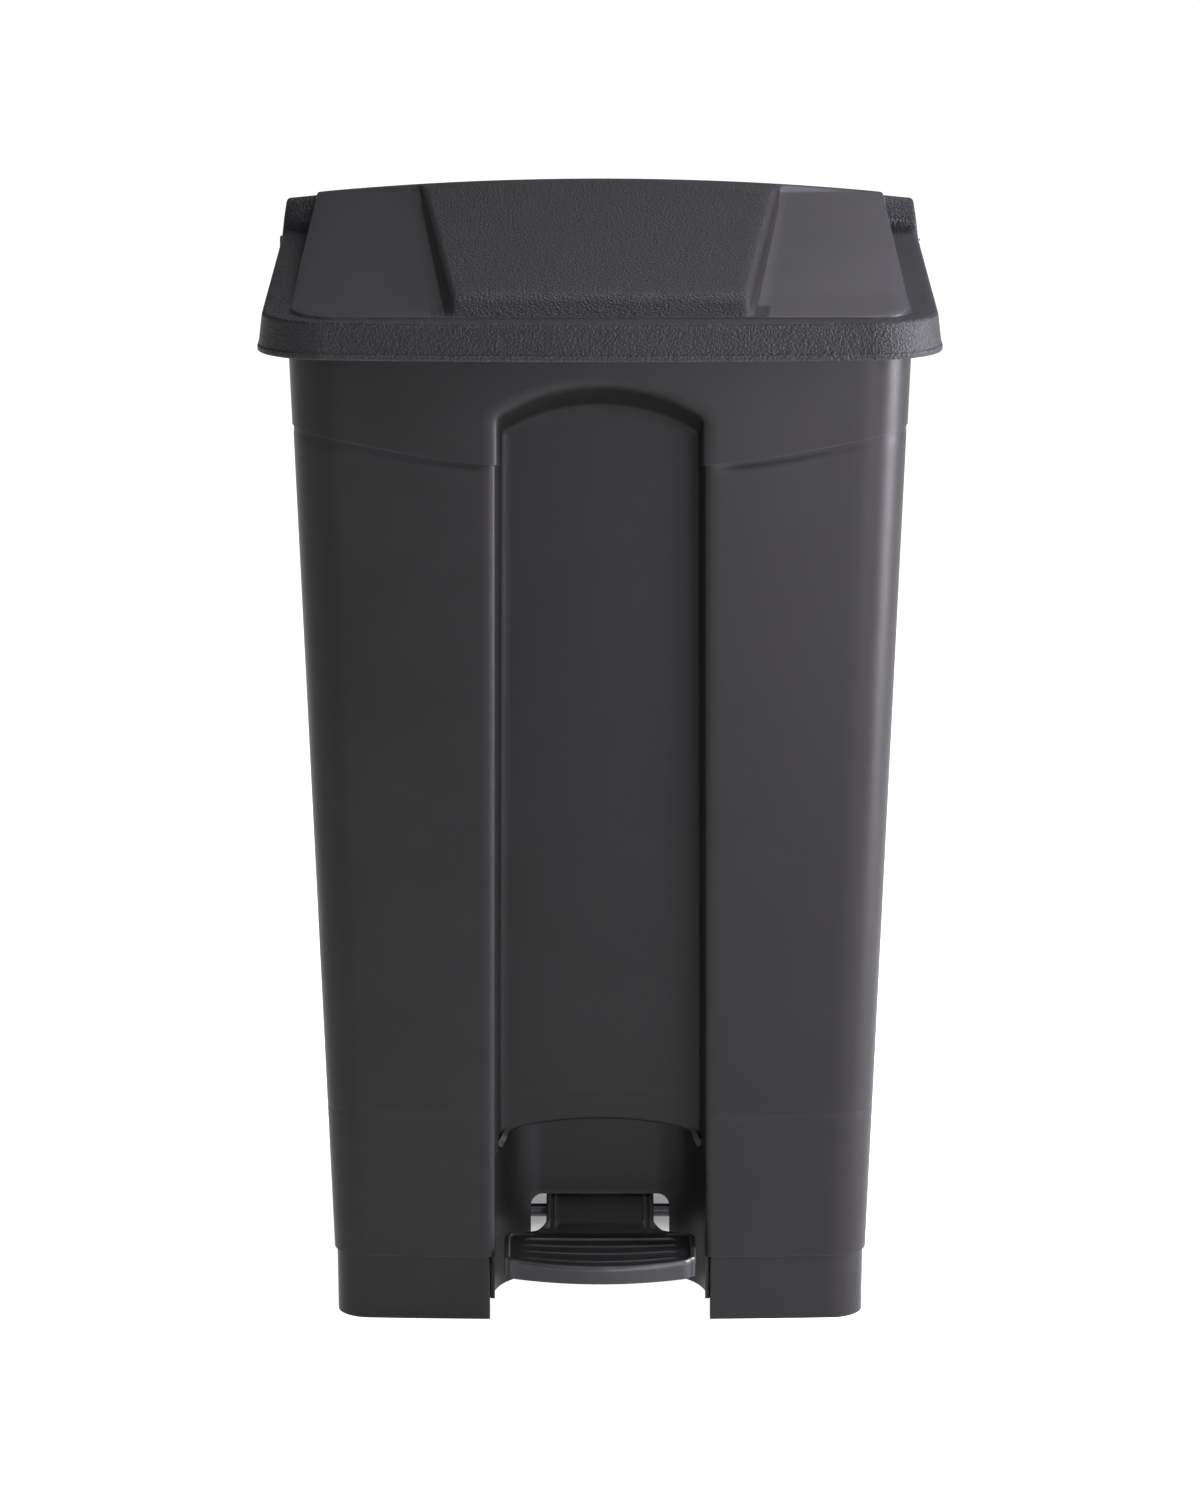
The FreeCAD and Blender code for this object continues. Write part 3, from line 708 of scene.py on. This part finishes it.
ring = loop_at(240, 2.2)
ring = [(x * hx(166) / hx(240), y if y > -112 else y * (yf(166) + 2) / (yf(240) + 2)) for x, y in ring]
full_ring = ring + [(-x, y) for x, y in reversed(ring[1:-1])]
for z, _ in ((168.0, 1), (164.0, 0)):
    plate.poly([(x, y, z) for x, y in full_ring])
n = len(full_ring)
for k in range(n):
    a, b = full_ring[k], full_ring[(k + 1) % n]
    plate.poly([(a[0], a[1], 168.0), (b[0], b[1], 168.0), (b[0], b[1], 164.0), (a[0], a[1], 164.0)])


def prism(mesh, yz, x0, x1, chamfer=0.0):
    k = len(yz)
    cy, cz = sum(p[0] for p in yz) / k, sum(p[1] for p in yz) / k
    rows = []
    for x, s in ((x0, chamfer), (x0 + chamfer, 0), (x1 - chamfer, 0), (x1, chamfer)):
        row = []
        for y, z in yz:
            L = math.hypot(y - cy, z - cz) or 1
            row.append((x, y - (y - cy) / L * s, z - (z - cz) / L * s))
        rows.append(row)
    mesh.grid(rows, closed=True)
    mesh.poly(rows[0])
    mesh.poly(rows[-1])


ears = Mesh()
arc = [(HINGE[0] + 9 * cos(math.radians(g)), HINGE[1] + 9 * sin(math.radians(g))) for g in range(-35, 196, 15)]
ear_yz = [(177, 728), (184.5, 730)] + arc + [(177, 764)]
for x0, x1 in ((178, 190), (44, 56)):
    prism(ears, ear_yz, x0, x1, 0.8)
cheeks = Mesh()
prism(cheeks, [(-92, 53), (-71, 53), (-63, 70), (-51, 166), (-92, 166)], 62, 68, 0.6)
foot = Mesh()
fr = loop_at(60, 1.5)
fr2 = loop_at(60, 11.0)
ringrows = []
for (xa, ya), (xb, yb) in list(zip(fr, fr2))[NA + 5 + 7 + 5:-10]:
    ringrows.append([(xa - 1.5, ya if ya > 0 else ya + 1.5, 0.2), (xa - 1.5, ya if ya > 0 else ya + 1.5, 4.0), (xb, yb, 4.0), (xb, yb, 0.2)])
foot.grid(ringrows, closed=True)
foot.poly(ringrows[0])
foot.poly(ringrows[-1])

body_obj = build("body_skin", [(body, 2.9), (flange, 0), (ears, 0), (cheeks, 0), (foot, 0)], "bin", "body_shell", [M_BODY])
floor_obj = build("bin_floor", [(plate, 0)], "bin", "body_shell", [M_BODY], mirror=False)


# ------------------------------------------------------------------ lid
def flange_z(y): return 776.0 + 0.0353 * (y + 201.5)
def crown(x): return 826.0 - (2334.0 - sqrt(2334.0 ** 2 - x * x))


HOOD = [(139.0, 812.0), (141.5, 814.6), (144, 816.6), (148, 819.4), (153, 822.8), (157, 825.0), (160, 826.0), (168, 825.4), (178, 824.0), (184, 821.8),
        (190, 818.6), (196, 814.0), (199, 810.4), (202, 805.4), (204.2, 800.6), (205, 797.5)]


def hood_z(x, y):
    if y < 139:
        return -1e9
    return interp(y, HOOD) - (826.0 - crown(x))


def hood_end_z(x, y): return hood_z(x, y) - 2.6


def panel_z(x, y):
    top = crown(x) - 3.6 * (1 - smooth((abs(x) - 109) / 111.0))
    return min(776.8 + (y + 182) * (top - 776.8) / 342 + 1.1 * clamp((-120 - y) / 62), crown(x))


def ear_fillet(y):
    """The flange rises into the front of the hood's ends."""
    if not 127 < y < 139.04:
        return 0.0
    return 9.4 * (1 - sqrt(max(0.0, 1 - ((y - 127) / 12.04) ** 2)))


def plateau_z(x, y):
    """The centre panel's top, with a rounded brow above its sloped front face."""
    if y <= -166:
        z = 775.6 + (y + 181) * 15.9 / 15
    else:
        z = 791.5 + (y + 166) * 35.5 / 326
    # brow of about R 6
    d = abs(y + 166)
    if d < 8:
        z -= (8 - d) ** 2 * 0.0298
    return min(z, crown(x))


def plat_x(y): return 107.5 + (y + 181) * 1.3 / 15 if y < -166 else 108.8 + (y + 166) * 30.7 / 326
def pan_x(y): return 226.5 - (y + 182) * 6.5 / 342


def riser(H, rt, rb, draft=0.08):
    """Profile of a raised edge: list of (offset outwards, drop from the top), always 13 points."""
    H = max(H, 0.02)
    k = min(1.0, 0.96 * H / (rt + rb))
    rt, rb = rt * k, rb * k
    pts = []
    for i in range(6):
        a = pi / 2 * i / 5
        pts.append((-rt + rt * sin(a), rt * (1 - cos(a))))
    wall_h = H - rt - rb
    for t in (0.33, 0.66):
        pts.append((draft * wall_h * t, rt + wall_h * t))
    for i in range(5):
        a = pi / 2 * i / 4
        pts.append((draft * wall_h + rb * (1 - cos(a)), rt + wall_h + rb * sin(a)))
    return pts


YC = -152.0                       # the rings' corner centre, and the rows in front of it
XC = 198.5
NPR = 13
# offsets of the rings from the corner centre: panel edge and lid edge
FRONT_ROWS = 0
lid_rows_y = [-152, -148, -140, -130, -118, -104, -90, -74, -58, -40, -22, -4, 14, 32, 50, 68, 84, 100, 113, 124, 131, 135, 137, 138.2, 138.8,
              139.05, 139.3, 139.6, 140.4, 142, 144.5, 147.5, 151, 155, 159, 163, 168, 173, 178, 183, 187.5, 191.5, 195, 198, 200.5, 202.6, 204.2, 205.0]
# rows in front of the corner centre, as the front panel edge and the plateau's sloped face ask
y_front_in = [-154.5, -157, -159.5, -161.5, -163.2, -164.6, -165.8, -167, -168.4, -170, -172.2, -174.6, -176.8]


def edge_pts(y):
    """Height of the flange's top at its outer edge; None from the hood onwards."""
    zt = flange_z(y)
    if y >= 139:
        zt = None
    return zt


G = 0.117


def lid_half(z):
    """Half-width of the skirt at height z."""
    return 249.8 - G * (z - 753)


TOP_R = 3.0
# columns for one row (y >= YC): list of (x, z)


def top_z_outer(x, y):
    return max(flange_z(y), hood_z(x, y))


def lid_columns(y):
    xp, xq = plat_x(y), pan_x(y)
    zp = plateau_z(0, y)
    zq = panel_z(xp, y)
    hood = y >= 139
    cols = []
    hz = (lambda x: hood_z(x, y)) if hood else (lambda x: -1e9)

    def plat(x): return hz(x) if y >= 160 else max(plateau_z(x, y), hz(x))
    def pan(x): return hz(x) if y >= 160 else max(panel_z(x, y), hz(x))
    def fl(x): return max(flange_z(y) + ear_fillet(y), hz(x) - 2.6)
    H = plat(xp) - pan(xp)
    prof = riser(max(H, 0.0), 5.0, 1.6, 0.62)
    x0 = xp + prof[0][0]
    for k in range(16):
        x = x0 * k / 16
        cols.append((x, plat(x), 1))
    span = 6.0
    for (e, d) in prof:
        if H < 0.4:
            x = xp - 4 + 8 * len([1 for q in prof if q[0] < e or (q[0] == e and q[1] < d)]) / 13.0
            cols.append((x, lerp(plat(x), pan(x), clamp((x - xp + 4) / 8)), 1))
        else:
            cols.append((xp + e, plat(xp) - d - (0.0 if e > 0 else (plat(xp) - plat(xp + e))), 1))
    x1 = cols[-1][0]
    H2 = pan(xq) - fl(xq)
    prof2 = riser(max(H2, 0.0), 2.2, 1.3)
    x2 = xq + (prof2[0][0] if H2 >= 0.4 else -4.5)
    for k in range(1, 11):
        x = lerp(x1, x2, k / 11)
        cols.append((x, pan(x), 0))
    for n_, (e, d) in enumerate(prof2):
        if H2 < 0.4:
            x = xq - 4.5 + 6.0 * n_ / 12
            cols.append((x, lerp(pan(x), fl(x), clamp(n_ / 12)), 0))
        else:
            cols.append((xq + e, pan(xq) - d, 0))
    xe_top = lid_half(fl(246.0))
    if hood:
        xe_top = min(xe_top + 0.6, 246.4) if y > 141 else xe_top
    x3 = cols[-1][0]
    xr = xe_top - TOP_R
    for k in range(1, 5):
        x = lerp(x3, xr, k / 4)
        cols.append((x, fl(x), 2))
    zt = fl(xr)
    for k in range(1, 6):
        a = pi / 2 * k / 5
        cols.append((xr + TOP_R * sin(a), zt - TOP_R * (1 - cos(a)), 2))
    return cols


SKIRT_Z = [0.75, 0.5, 0.28, 0.12, 0.03]           # fractions from the flange's edge down to z 753.6
ref_row = lid_columns(-100.0)
N_COL = len(ref_row)


def skirt_ring(x, y, z_top, nx, ny, rear=False):
    """From an edge point (x, y, z_top) down the drafted skirt to the bead, along the outward direction (nx, ny)."""
    out = []
    zb = 753.6
    for f in SKIRT_Z:
        z = lerp(zb, z_top, f)
        d = G * (z_top - z)
        out.append((x + nx * d, y + ny * d, z))
    d0 = G * (z_top - zb)
    for dd, z in ((0.25, 753.35), (0.65, 753.1), (0.87, 752.6), (0.9, 751.6), (0.87, 750.4), (0.7, 749.5), (0.35, 749.05)):
        out.append((x + nx * (d0 + dd), y + ny * (d0 + dd), z))
    return out


lid = Mesh()
grid_rows, mats_ref = [], []
for y in lid_rows_y:
    cols = lid_columns(y)
    row = [(x, y, z) for x, z, m in cols]
    ex, ey, ez = row[-1]
    if y > 192:                                   # small radius at the rear corners
        s = 12 - sqrt(max(0.0, 144 - (y - 193) ** 2))
        fade = [clamp((p[0] - 200) / 46.0) for p in row]
        row = [(p[0] - s * f_, p[1], p[2]) for p, f_ in zip(row, fade)]
        ex, ey, ez = row[-1]
        a = math.asin(clamp((y - 193) / 12.0))
        nx, ny = cos(a), sin(a)
        if y > 204.9:
            nx, ny = 0.70, 0.71
    else:
        nx, ny = 1.0, 0.0
    sk = skirt_ring(ex, ey, ez, nx, 0.0)
    grid_rows.append(row + [(p[0], min(p[1], 205.0), p[2]) for p in sk])
mats_ref = [m for _, _, m in ref_row] + [2] * 12


def lid_mat(i, j):
    return mats_ref[min(j + 1, len(mats_ref) - 1)]


lid.grid(grid_rows, mat=lid_mat)
NALL = len(grid_rows[0])

# front part: rows ahead of YC, with rounded corners. Column j keeps its place on the row y = YC; the panel edge, flange and skirt turn round the corner.
base_row = grid_rows[0]
# first column at or beyond XC
jc = max(j for j in range(N_COL) if base_row[j][0] <= XC)
ring_x = [base_row[j][0] - base_row[jc][0] for j in range(jc, NALL)]
XCC = base_row[jc][0]
n_ring = len(ring_x)
# matching front offsets: panel front edge at y -182, lid edge at the skirt
x_edge_pan = pan_x(YC) - XCC


def front_off(j):
    """How far in front of YC ring j runs at x = XCC."""
    a = ring_x[j]
    x_abs = a + XCC
    xp_ = pan_x(YC)
    if x_abs <= xp_:
        return 30.0 * (a / (xp_ - XCC))
    y_edge = 205 - LID_BOW * 0 - 152.0
    # lid front at the same skirt height, at the corner's tangent
    out_x = base_row[NALL - 1][0] - XCC
    total_front = 205.0 - 0.9 - 152.0 - LID_BOW * (XCC / 201.0) ** 2 * 0.9
    in_x = xp_ - XCC
    return 30.0 + (total_front - 30.0) * (a - in_x) / (out_x - in_x)


ring_y = [front_off(j) for j in range(n_ring)]


def bow(x, depth):
    """The lid's outer edge bows forwards; inner rings follow less and less."""
    return LID_BOW * 0.9 * (1 - (min(abs(x), XCC) / XCC) ** 2) * smooth((depth - 30.0) / 12.0)


def flange_front_z(y): return flange_z(y)


front_rows = []
for k in range(n_ring):
    depth = ring_y[k]
    row = []
    for j in range(jc + 1):                        # straight part, x from 0 to XCC
        x0 = base_row[j][0]
        y = YC - depth
        # plateau columns follow the plateau's own edge
        x = x0
        if j <= 16 + NPR:
            x = x0 * plat_x(max(y, -181)) / plat_x(YC)
        b = bow(x, depth)
        row.append([x, y - b, 0.0, j, k])
    for j in range(1, n_ring):                     # corner
        m = max(j, k)
        if m == 0:
            u = v = 0.0
        elif j >= k:
            a = pi / 4 * k / j
            u, v = cos(a), sin(a)
        else:
            a = pi / 2 - pi / 4 * j / k
            u, v = cos(a), sin(a)
        row.append([XCC + ring_x[m] * u, YC - ring_y[m] * v, 0.0, jc + j, k])
    front_rows.append(row)
# heights
n_pan0 = jc
zrow = [p[2] for p in base_row]


def ring_height(x, y, m):
    """Height for ring m of the corner, from the panel, the flange or the skirt."""
    jj = jc + m
    kind = "panel"
    x_abs = base_row[jj][0]
    xq = pan_x(YC)
    first_edge = 16 + NPR + 10                     # first column of the panel's edge profile
    if jj < first_edge:
        return panel_z(x, y)
    if jj < first_edge + NPR:
        f = (zrow[first_edge] - zrow[jj]) / max(1e-6, zrow[first_edge] - zrow[first_edge + NPR - 1])
        return lerp(panel_z(x, y), flange_z(y), f)
    if jj < first_edge + NPR + 4:
        return flange_z(y)
    if jj < N_COL:
        return flange_z(y) - (zrow[first_edge + NPR + 3] - zrow[jj])
    top = flange_z(y) - TOP_R
    base_top = zrow[N_COL - 1]
    zj = zrow[jj]
    if zj > 753.6:
        return lerp(753.6, top, (zj - 753.6) / (base_top - 753.6))
    return zj


for k, row in enumerate(front_rows):
    for p in row:
        x, y, _, j, kk = p
        m = max(j - jc, kk)
        z_pan = ring_height(x, y, m)
        if j <= 16 + NPR and kk >= 0:
            # plateau and its side edge
            yy = y
            zt = plateau_z(x, yy) if jc + m < 16 + NPR + 10 + NPR else -1e9
            top = max(zt, z_pan)
            if j < 16:
                z = top
            else:
                f = 0.0
                b0, b1 = base_row[16][2], base_row[16 + NPR - 1][2]
                if j < 16 + NPR:
                    f = (b0 - base_row[j][2]) / (b0 - b1)
                else:
                    f = 1.0
                z = lerp(top, z_pan, f) if zt > z_pan else z_pan
            p[2] = z
        else:
            p[2] = z_pan
front_pts = [[(p[0], p[1], p[2]) for p in row] for row in front_rows]


def front_mat(i, j):
    m = max(j - jc, i)
    if j < 16 + NPR and -YC + ring_y[i] < 181.5:
        return 1
    jj = jc + m
    if jj < 16 + NPR + 10 + NPR - 1:
        return 0
    return 2


# the straight rings and the rounded corners in front of YC
lid.grid(front_pts, mat=front_mat)

# rear wall: down from the hood's rear edge
rear_row = grid_rows[-1]
top_edge = [p for p in rear_row[:N_COL - 5]]
rear_wall = []
for f in (1.0, 0.8, 0.5, 0.2, 0.0):
    rear_wall.append([(p[0], p[1], lerp(776.0, p[2], f)) for p in top_edge])
lid.grid(rear_wall, mat=2)
below = []
js = [j for j, p in enumerate(top_edge) if p[0] >= 231.0]
corner_cols = [top_edge[j] for j in js]
last_x = corner_cols[0][0]
for z in (776.0, 768, 760, 754, 753.1, 752.6, 750.4, 749.1):
    below.append([(p[0], p[1], z) for p in corner_cols])
lid.grid(below, mat=2)
edge_cols = rear_row[N_COL - 6:]

bosses = Mesh()
for x0, x1 in ((229.0, 245.6),):
    rings = []
    for x, r in ((x0, 9.2), (x0 + 0.8, 10), (x1, 10)):
        rings.append([(x, HINGE[0] + r * cos(2 * pi * k / 32), HINGE[1] + r * sin(2 * pi * k / 32)) for k in range(32)])
    for x, r in ((x1, 6.6), (x0, 6.6)):
        rings.append([(x, HINGE[0] + r * cos(2 * pi * k / 32), HINGE[1] + r * sin(2 * pi * k / 32)) for k in range(32)])
    rings.append(rings[0])
    bosses.grid(rings, closed=True, mat=0)
screw_boss = Mesh()
rings = []
for z, r in ((823.5, 6.6), (797, 6.0), (795.6, 5.8), (795.0, 5.2), (795.0, 2.1), (823.5, 2.1), (823.5, 6.6)):
    rings.append([(13 + r * cos(2 * pi * k / 24), 163 + r * sin(2 * pi * k / 24), z) for k in range(24)])
screw_boss.grid(rings, closed=True, mat=0)

lid_obj = build("lid_skin", [(lid, 2.9), (bosses, 0), (screw_boss, 0)], "lid_body", "lid", [M_LID, M_LID_STIPPLE, M_LID_STIPPLE])


# ------------------------------------------------------------------ pedal
def ped_half(y):
    """Half-width of the pedal at y behind the front arc: a rounded shoulder, then a hollow curve into the neck."""
    if y <= -129:
        return 72.5
    if y <= -120:
        return 72.5 - 9.0 * (1 - sqrt(max(0.0, 1 - ((y + 129) / 9.0) ** 2)))
    if y <= -117.5:
        return lerp(63.5, 49.0, (y + 120) / 2.5)
    if y <= -109.5:
        return 41 + 8.0 * (1 - sin(pi / 2 * (y + 117.5) / 8.0))
    return 41.0


def ped_top(y):
    return interp(y, [(-186, 53.2), (-184, 53.6), (-120, 59.5), (-112, 64.8), (-104, 71.0), (-97, 76.4), (-93, 78.8), (-90, 79.5), (-84, 79.6), (-46, 76)])


pedal = Mesh()
Y_ROWS = [-186, -185.2, -184.2, -183, -181.6, -180, -178.4, -177, -175.8, -174.6, -173.5, -172.4, -171.2, -169, -166, -163, -161.2, -160.1, -159, -157.9, -156.8, -154, -151,
          -148, -146.6, -145.8, -145, -144.2, -143.4, -140.5, -137.5, -134.4, -133.4, -132.7, -132, -131.3, -130.6, -129, -127.2, -125.4, -123.8, -122.4, -121.3, -120.5, -120, -119.2, -118.4,
          -117.5, -116.2, -114.8, -113.4, -112, -110.6, -109.5, -107, -104, -101, -98, -95.5, -93.5, -91.5, -90, -88, -86, -84, -80, -76, -70, -62, -54, -46]
US = [0.0, 0.08, 0.16, 0.24, 0.32, 0.40, 0.48, 0.54, 0.60, 0.66, 0.71, 0.76, 0.80, 0.84, 0.865, 0.885, 0.905, 0.92, 0.935, 0.95, 0.965, 0.98, 0.99, 1.0]
RIBS = [-173.5, -159.0, -145.0, -132.0]
PBOW = 16.0


def ped_point(u, ym):
    b = PBOW * clamp((-123 - ym) / 63.0)
    h = ped_half(ym)
    x, y = h * u, ym + b * u * u
    dx, dt = h - x, ym + 186
    if dx < 9 and dt < 9:                    # rounded front corners
        p, q = 1 - dx / 9, 1 - dt / 9
        r = max(p, q)
        if r > 0:
            a = pi / 4 * q / p if p >= q else pi / 2 - pi / 4 * p / q
            x, y = h - 9 * (1 - r * cos(a)), -186 + 9 * (1 - r * sin(a)) + b * u * u
    return x, y


rows = []
for ym in Y_ROWS:
    row = []
    for u in US:
        x, y = ped_point(u, ym)
        h = ped_half(ym)
        z = ped_top(y)
        d_side = (1 - u) * h
        d_front = ym + 186
        d = min(d_side, d_front)
        if ym > -136 and x > 40:
            d = min(d, max(0.0, -118.5 - ym)) if x > 50 else d
        tread = smooth((-119 - ym) / 3.0)
        border = 1.5 * smooth((4.8 - d) / 1.2) * tread
        edge_d = min(d_side, d_front) if not (ym > -121 and ym < -116 and x > 47) else d_side
        ease = 1.8 * (1 - sqrt(max(0.0, 1 - max(0.0, 1 - edge_d / 1.8) ** 2)))
        rib = 0.0
        for i_r, yr_ in enumerate(RIBS):
            if abs(ym - yr_) < 1.5 and x < 56 - 0.0 * i_r and d > 5.5:
                rib += (1.1 if i_r < 3 else 1.5) * (1 - ((ym - yr_) / 1.5) ** 2)
        neck = smooth((ym + 117) / 6.0)
        side_rib = (1.1 * (smooth((x - 32.6) / 0.9) - smooth((x - 34.4) / 0.9)) + 1.3 * smooth((x - 37.2) / 1.0)) * neck * smooth((-74 - ym) / 6.0)
        z += border - ease + rib + side_rib - 0.45 * tread
        row.append((x, y, z))
    xe, ye, ze = row[-1]
    bottom = interp(ye, [(-195, 41), (-150, 41), (-104, 48), (-92, 56), (-46, 56)])
    for f in (0.82, 0.6, 0.4, 0.2, 0.05, 0.0):
        row.append((xe - 0.5 * (1 - f), ye, lerp(bottom, ze, f)))
    xb = row[-1][0]
    for f in (0.985, 0.8, 0.5, 0.2, 0.0):
        row.append((xb * f, lerp(rows[0][0][1] if False else ym, ye, f * f), bottom))
    rows.append(row)


def ped_mat(i, j):
    return 1 if j >= len(US) - 1 and Y_ROWS[i + 1] < -150 else 0


pedal.grid(rows, mat=ped_mat)
# front wall under the arc
front = rows[0]
front_top = front[:len(US)]
fw = []
for f in (1.0, 0.8, 0.55, 0.3, 0.1, 0.0):
    fw.append([(p[0], p[1] - 0.0, lerp(41.0, p[2], f)) for p in front_top])
pedal.grid(fw, mat=1)
pedal.grid([fw[-1], [(p[0], p[1], 41.0) for p in front_top]], mat=1)
back = rows[-1]
pedal.poly([(p[0], p[1], p[2]) for p in back], mat=0)

pedal_obj = build("pedal_skin", [(pedal, 0)], "pedal_body", "pedal", [M_PEDAL, M_PEDAL_RIM])

# ------------------------------------------------------------------ floor, light, camera
fm = bpy.data.materials.new("floor")
fm.use_nodes = True
fp = fm.node_tree.nodes["Principled BSDF"]
fp.inputs["Base Color"].default_value = (0.45, 0.45, 0.45, 1)
fp.inputs["Emission Color"].default_value = (1, 1, 1, 1)
ftc = fm.node_tree.nodes.new("ShaderNodeTexCoord")
fsx = fm.node_tree.nodes.new("ShaderNodeSeparateXYZ")


def floor_range(src, a, b, c, d):
    m = fm.node_tree.nodes.new("ShaderNodeMapRange")
    m.interpolation_type = "SMOOTHSTEP"
    m.inputs[1].default_value, m.inputs[2].default_value, m.inputs[3].default_value, m.inputs[4].default_value = a, b, c, d
    fm.node_tree.links.new(src, m.inputs[0])
    return m.outputs[0]


def floor_math(op, a, b):
    m = fm.node_tree.nodes.new("ShaderNodeMath")
    m.operation = op
    for k, q in ((0, a), (1, b)):
        if isinstance(q, (int, float)):
            m.inputs[k].default_value = q
        else:
            fm.node_tree.links.new(q, m.inputs[k])
    return m.outputs[0]


fm.node_tree.links.new(ftc.outputs["Object"], fsx.inputs[0])
lit = floor_range(fsx.outputs[1], -1.6, -0.58, 0.5, 1.0)
ax = floor_math("ABSOLUTE", fsx.outputs[0], 0.0)
# painted shadow under the bin: the floor's glow drops by up to 72% in a patch about |x| < 0.2 m, y 0.02 to 0.19 m
painted_shadow_under_bin = floor_math("MULTIPLY", floor_range(ax, 0.16, 0.20, 1.0, 0.0), floor_range(fsx.outputs[1], 0.02, 0.10, 0.0, 1.0))
painted_shadow_under_bin = floor_math("MULTIPLY", painted_shadow_under_bin, floor_range(fsx.outputs[1], 0.15, 0.19, 1.0, 0.0))
fm.node_tree.links.new(floor_math("MULTIPLY", lit, floor_math("SUBTRACT", 1.0, floor_math("MULTIPLY", painted_shadow_under_bin, 0.72))), fp.inputs["Emission Strength"])
fp.inputs["Roughness"].default_value = 0.9
fnz = fm.node_tree.nodes.new("ShaderNodeTexNoise")
fnz.inputs["Scale"].default_value = 300
fb = fm.node_tree.nodes.new("ShaderNodeBump")
fb.inputs["Strength"].default_value, fb.inputs["Distance"].default_value = 0.02, 0.001
fm.node_tree.links.new(fnz.outputs[0], fb.inputs["Height"])
fm.node_tree.links.new(fb.outputs[0], fp.inputs["Normal"])
fme = bpy.data.meshes.new("floor")
S = 30.0
fme.from_pydata([(-S, -S, 0), (S, -S, 0), (S, S, 0), (-S, S, 0)], [], [(0, 1, 2, 3)])
floor = bpy.data.objects.new("floor", fme)
bpy.context.scene.collection.objects.link(floor)
fme.materials.append(fm)

world = bpy.data.worlds.new("studio")
bpy.context.scene.world = world
world.use_nodes = True
bg = world.node_tree.nodes["Background"]
bg.inputs[0].default_value = (1, 1, 1, 1)
bg.inputs[1].default_value = 0.15


def area(name, loc, target, size, size_y, power, colour=(1, 1, 1)):
    ld = bpy.data.lights.new(name, "AREA")
    ld.shape, ld.size, ld.size_y, ld.energy = "RECTANGLE", size, size_y, power
    ld.color = colour
    lo = bpy.data.objects.new(name, ld)
    lo.location = loc
    lo.rotation_euler = (Vector(target) - Vector(loc)).to_track_quat("-Z", "Y").to_euler()
    lo.visible_camera = False
    bpy.context.scene.collection.objects.link(lo)
    return lo


COOL = (0.93, 0.905, 1.0)
area("key_right", (0.95, -1.05, 1.0), (0, -0.1, 0.5), 0.5, 0.9, 5, COOL)
area("side_right", (2.2, -0.42, 0.85), (0, 0, 0.45), 0.7, 1.6, 230, COOL)
area("front_right", (1.5, -3.2, 2.0), (0, 0, 0.45), 1.0, 1.0, 8, COOL)
area("top", (0.5, -1.4, 3.0), (0, 0, 0.7), 2.0, 1.4, 26, COOL)
area("rear_top", (0.9, 1.35, 2.6), (0, 0, 0.8), 1.8, 1.0, 34, COOL)
area("fill_left", (-2.8, -1.6, 1.5), (0, 0, 0.45), 1.0, 2.0, 24)
area("bounce", (0.8, -1.85, 0.03), (0, -0.1, 0.55), 1.3, 1.6, 68, COOL)

cam = bpy.data.cameras.new("camera")
cam.lens, cam.sensor_width, cam.clip_end = 148.4, 36.0, 100
camo = bpy.data.objects.new("camera", cam)
camo.location = (0, -4.605, 1.5575)
camo.rotation_euler = (math.radians(76), 0, 0)
bpy.context.scene.collection.objects.link(camo)
bpy.context.scene.camera = camo
bpy.context.scene.view_settings.view_transform = "Standard"
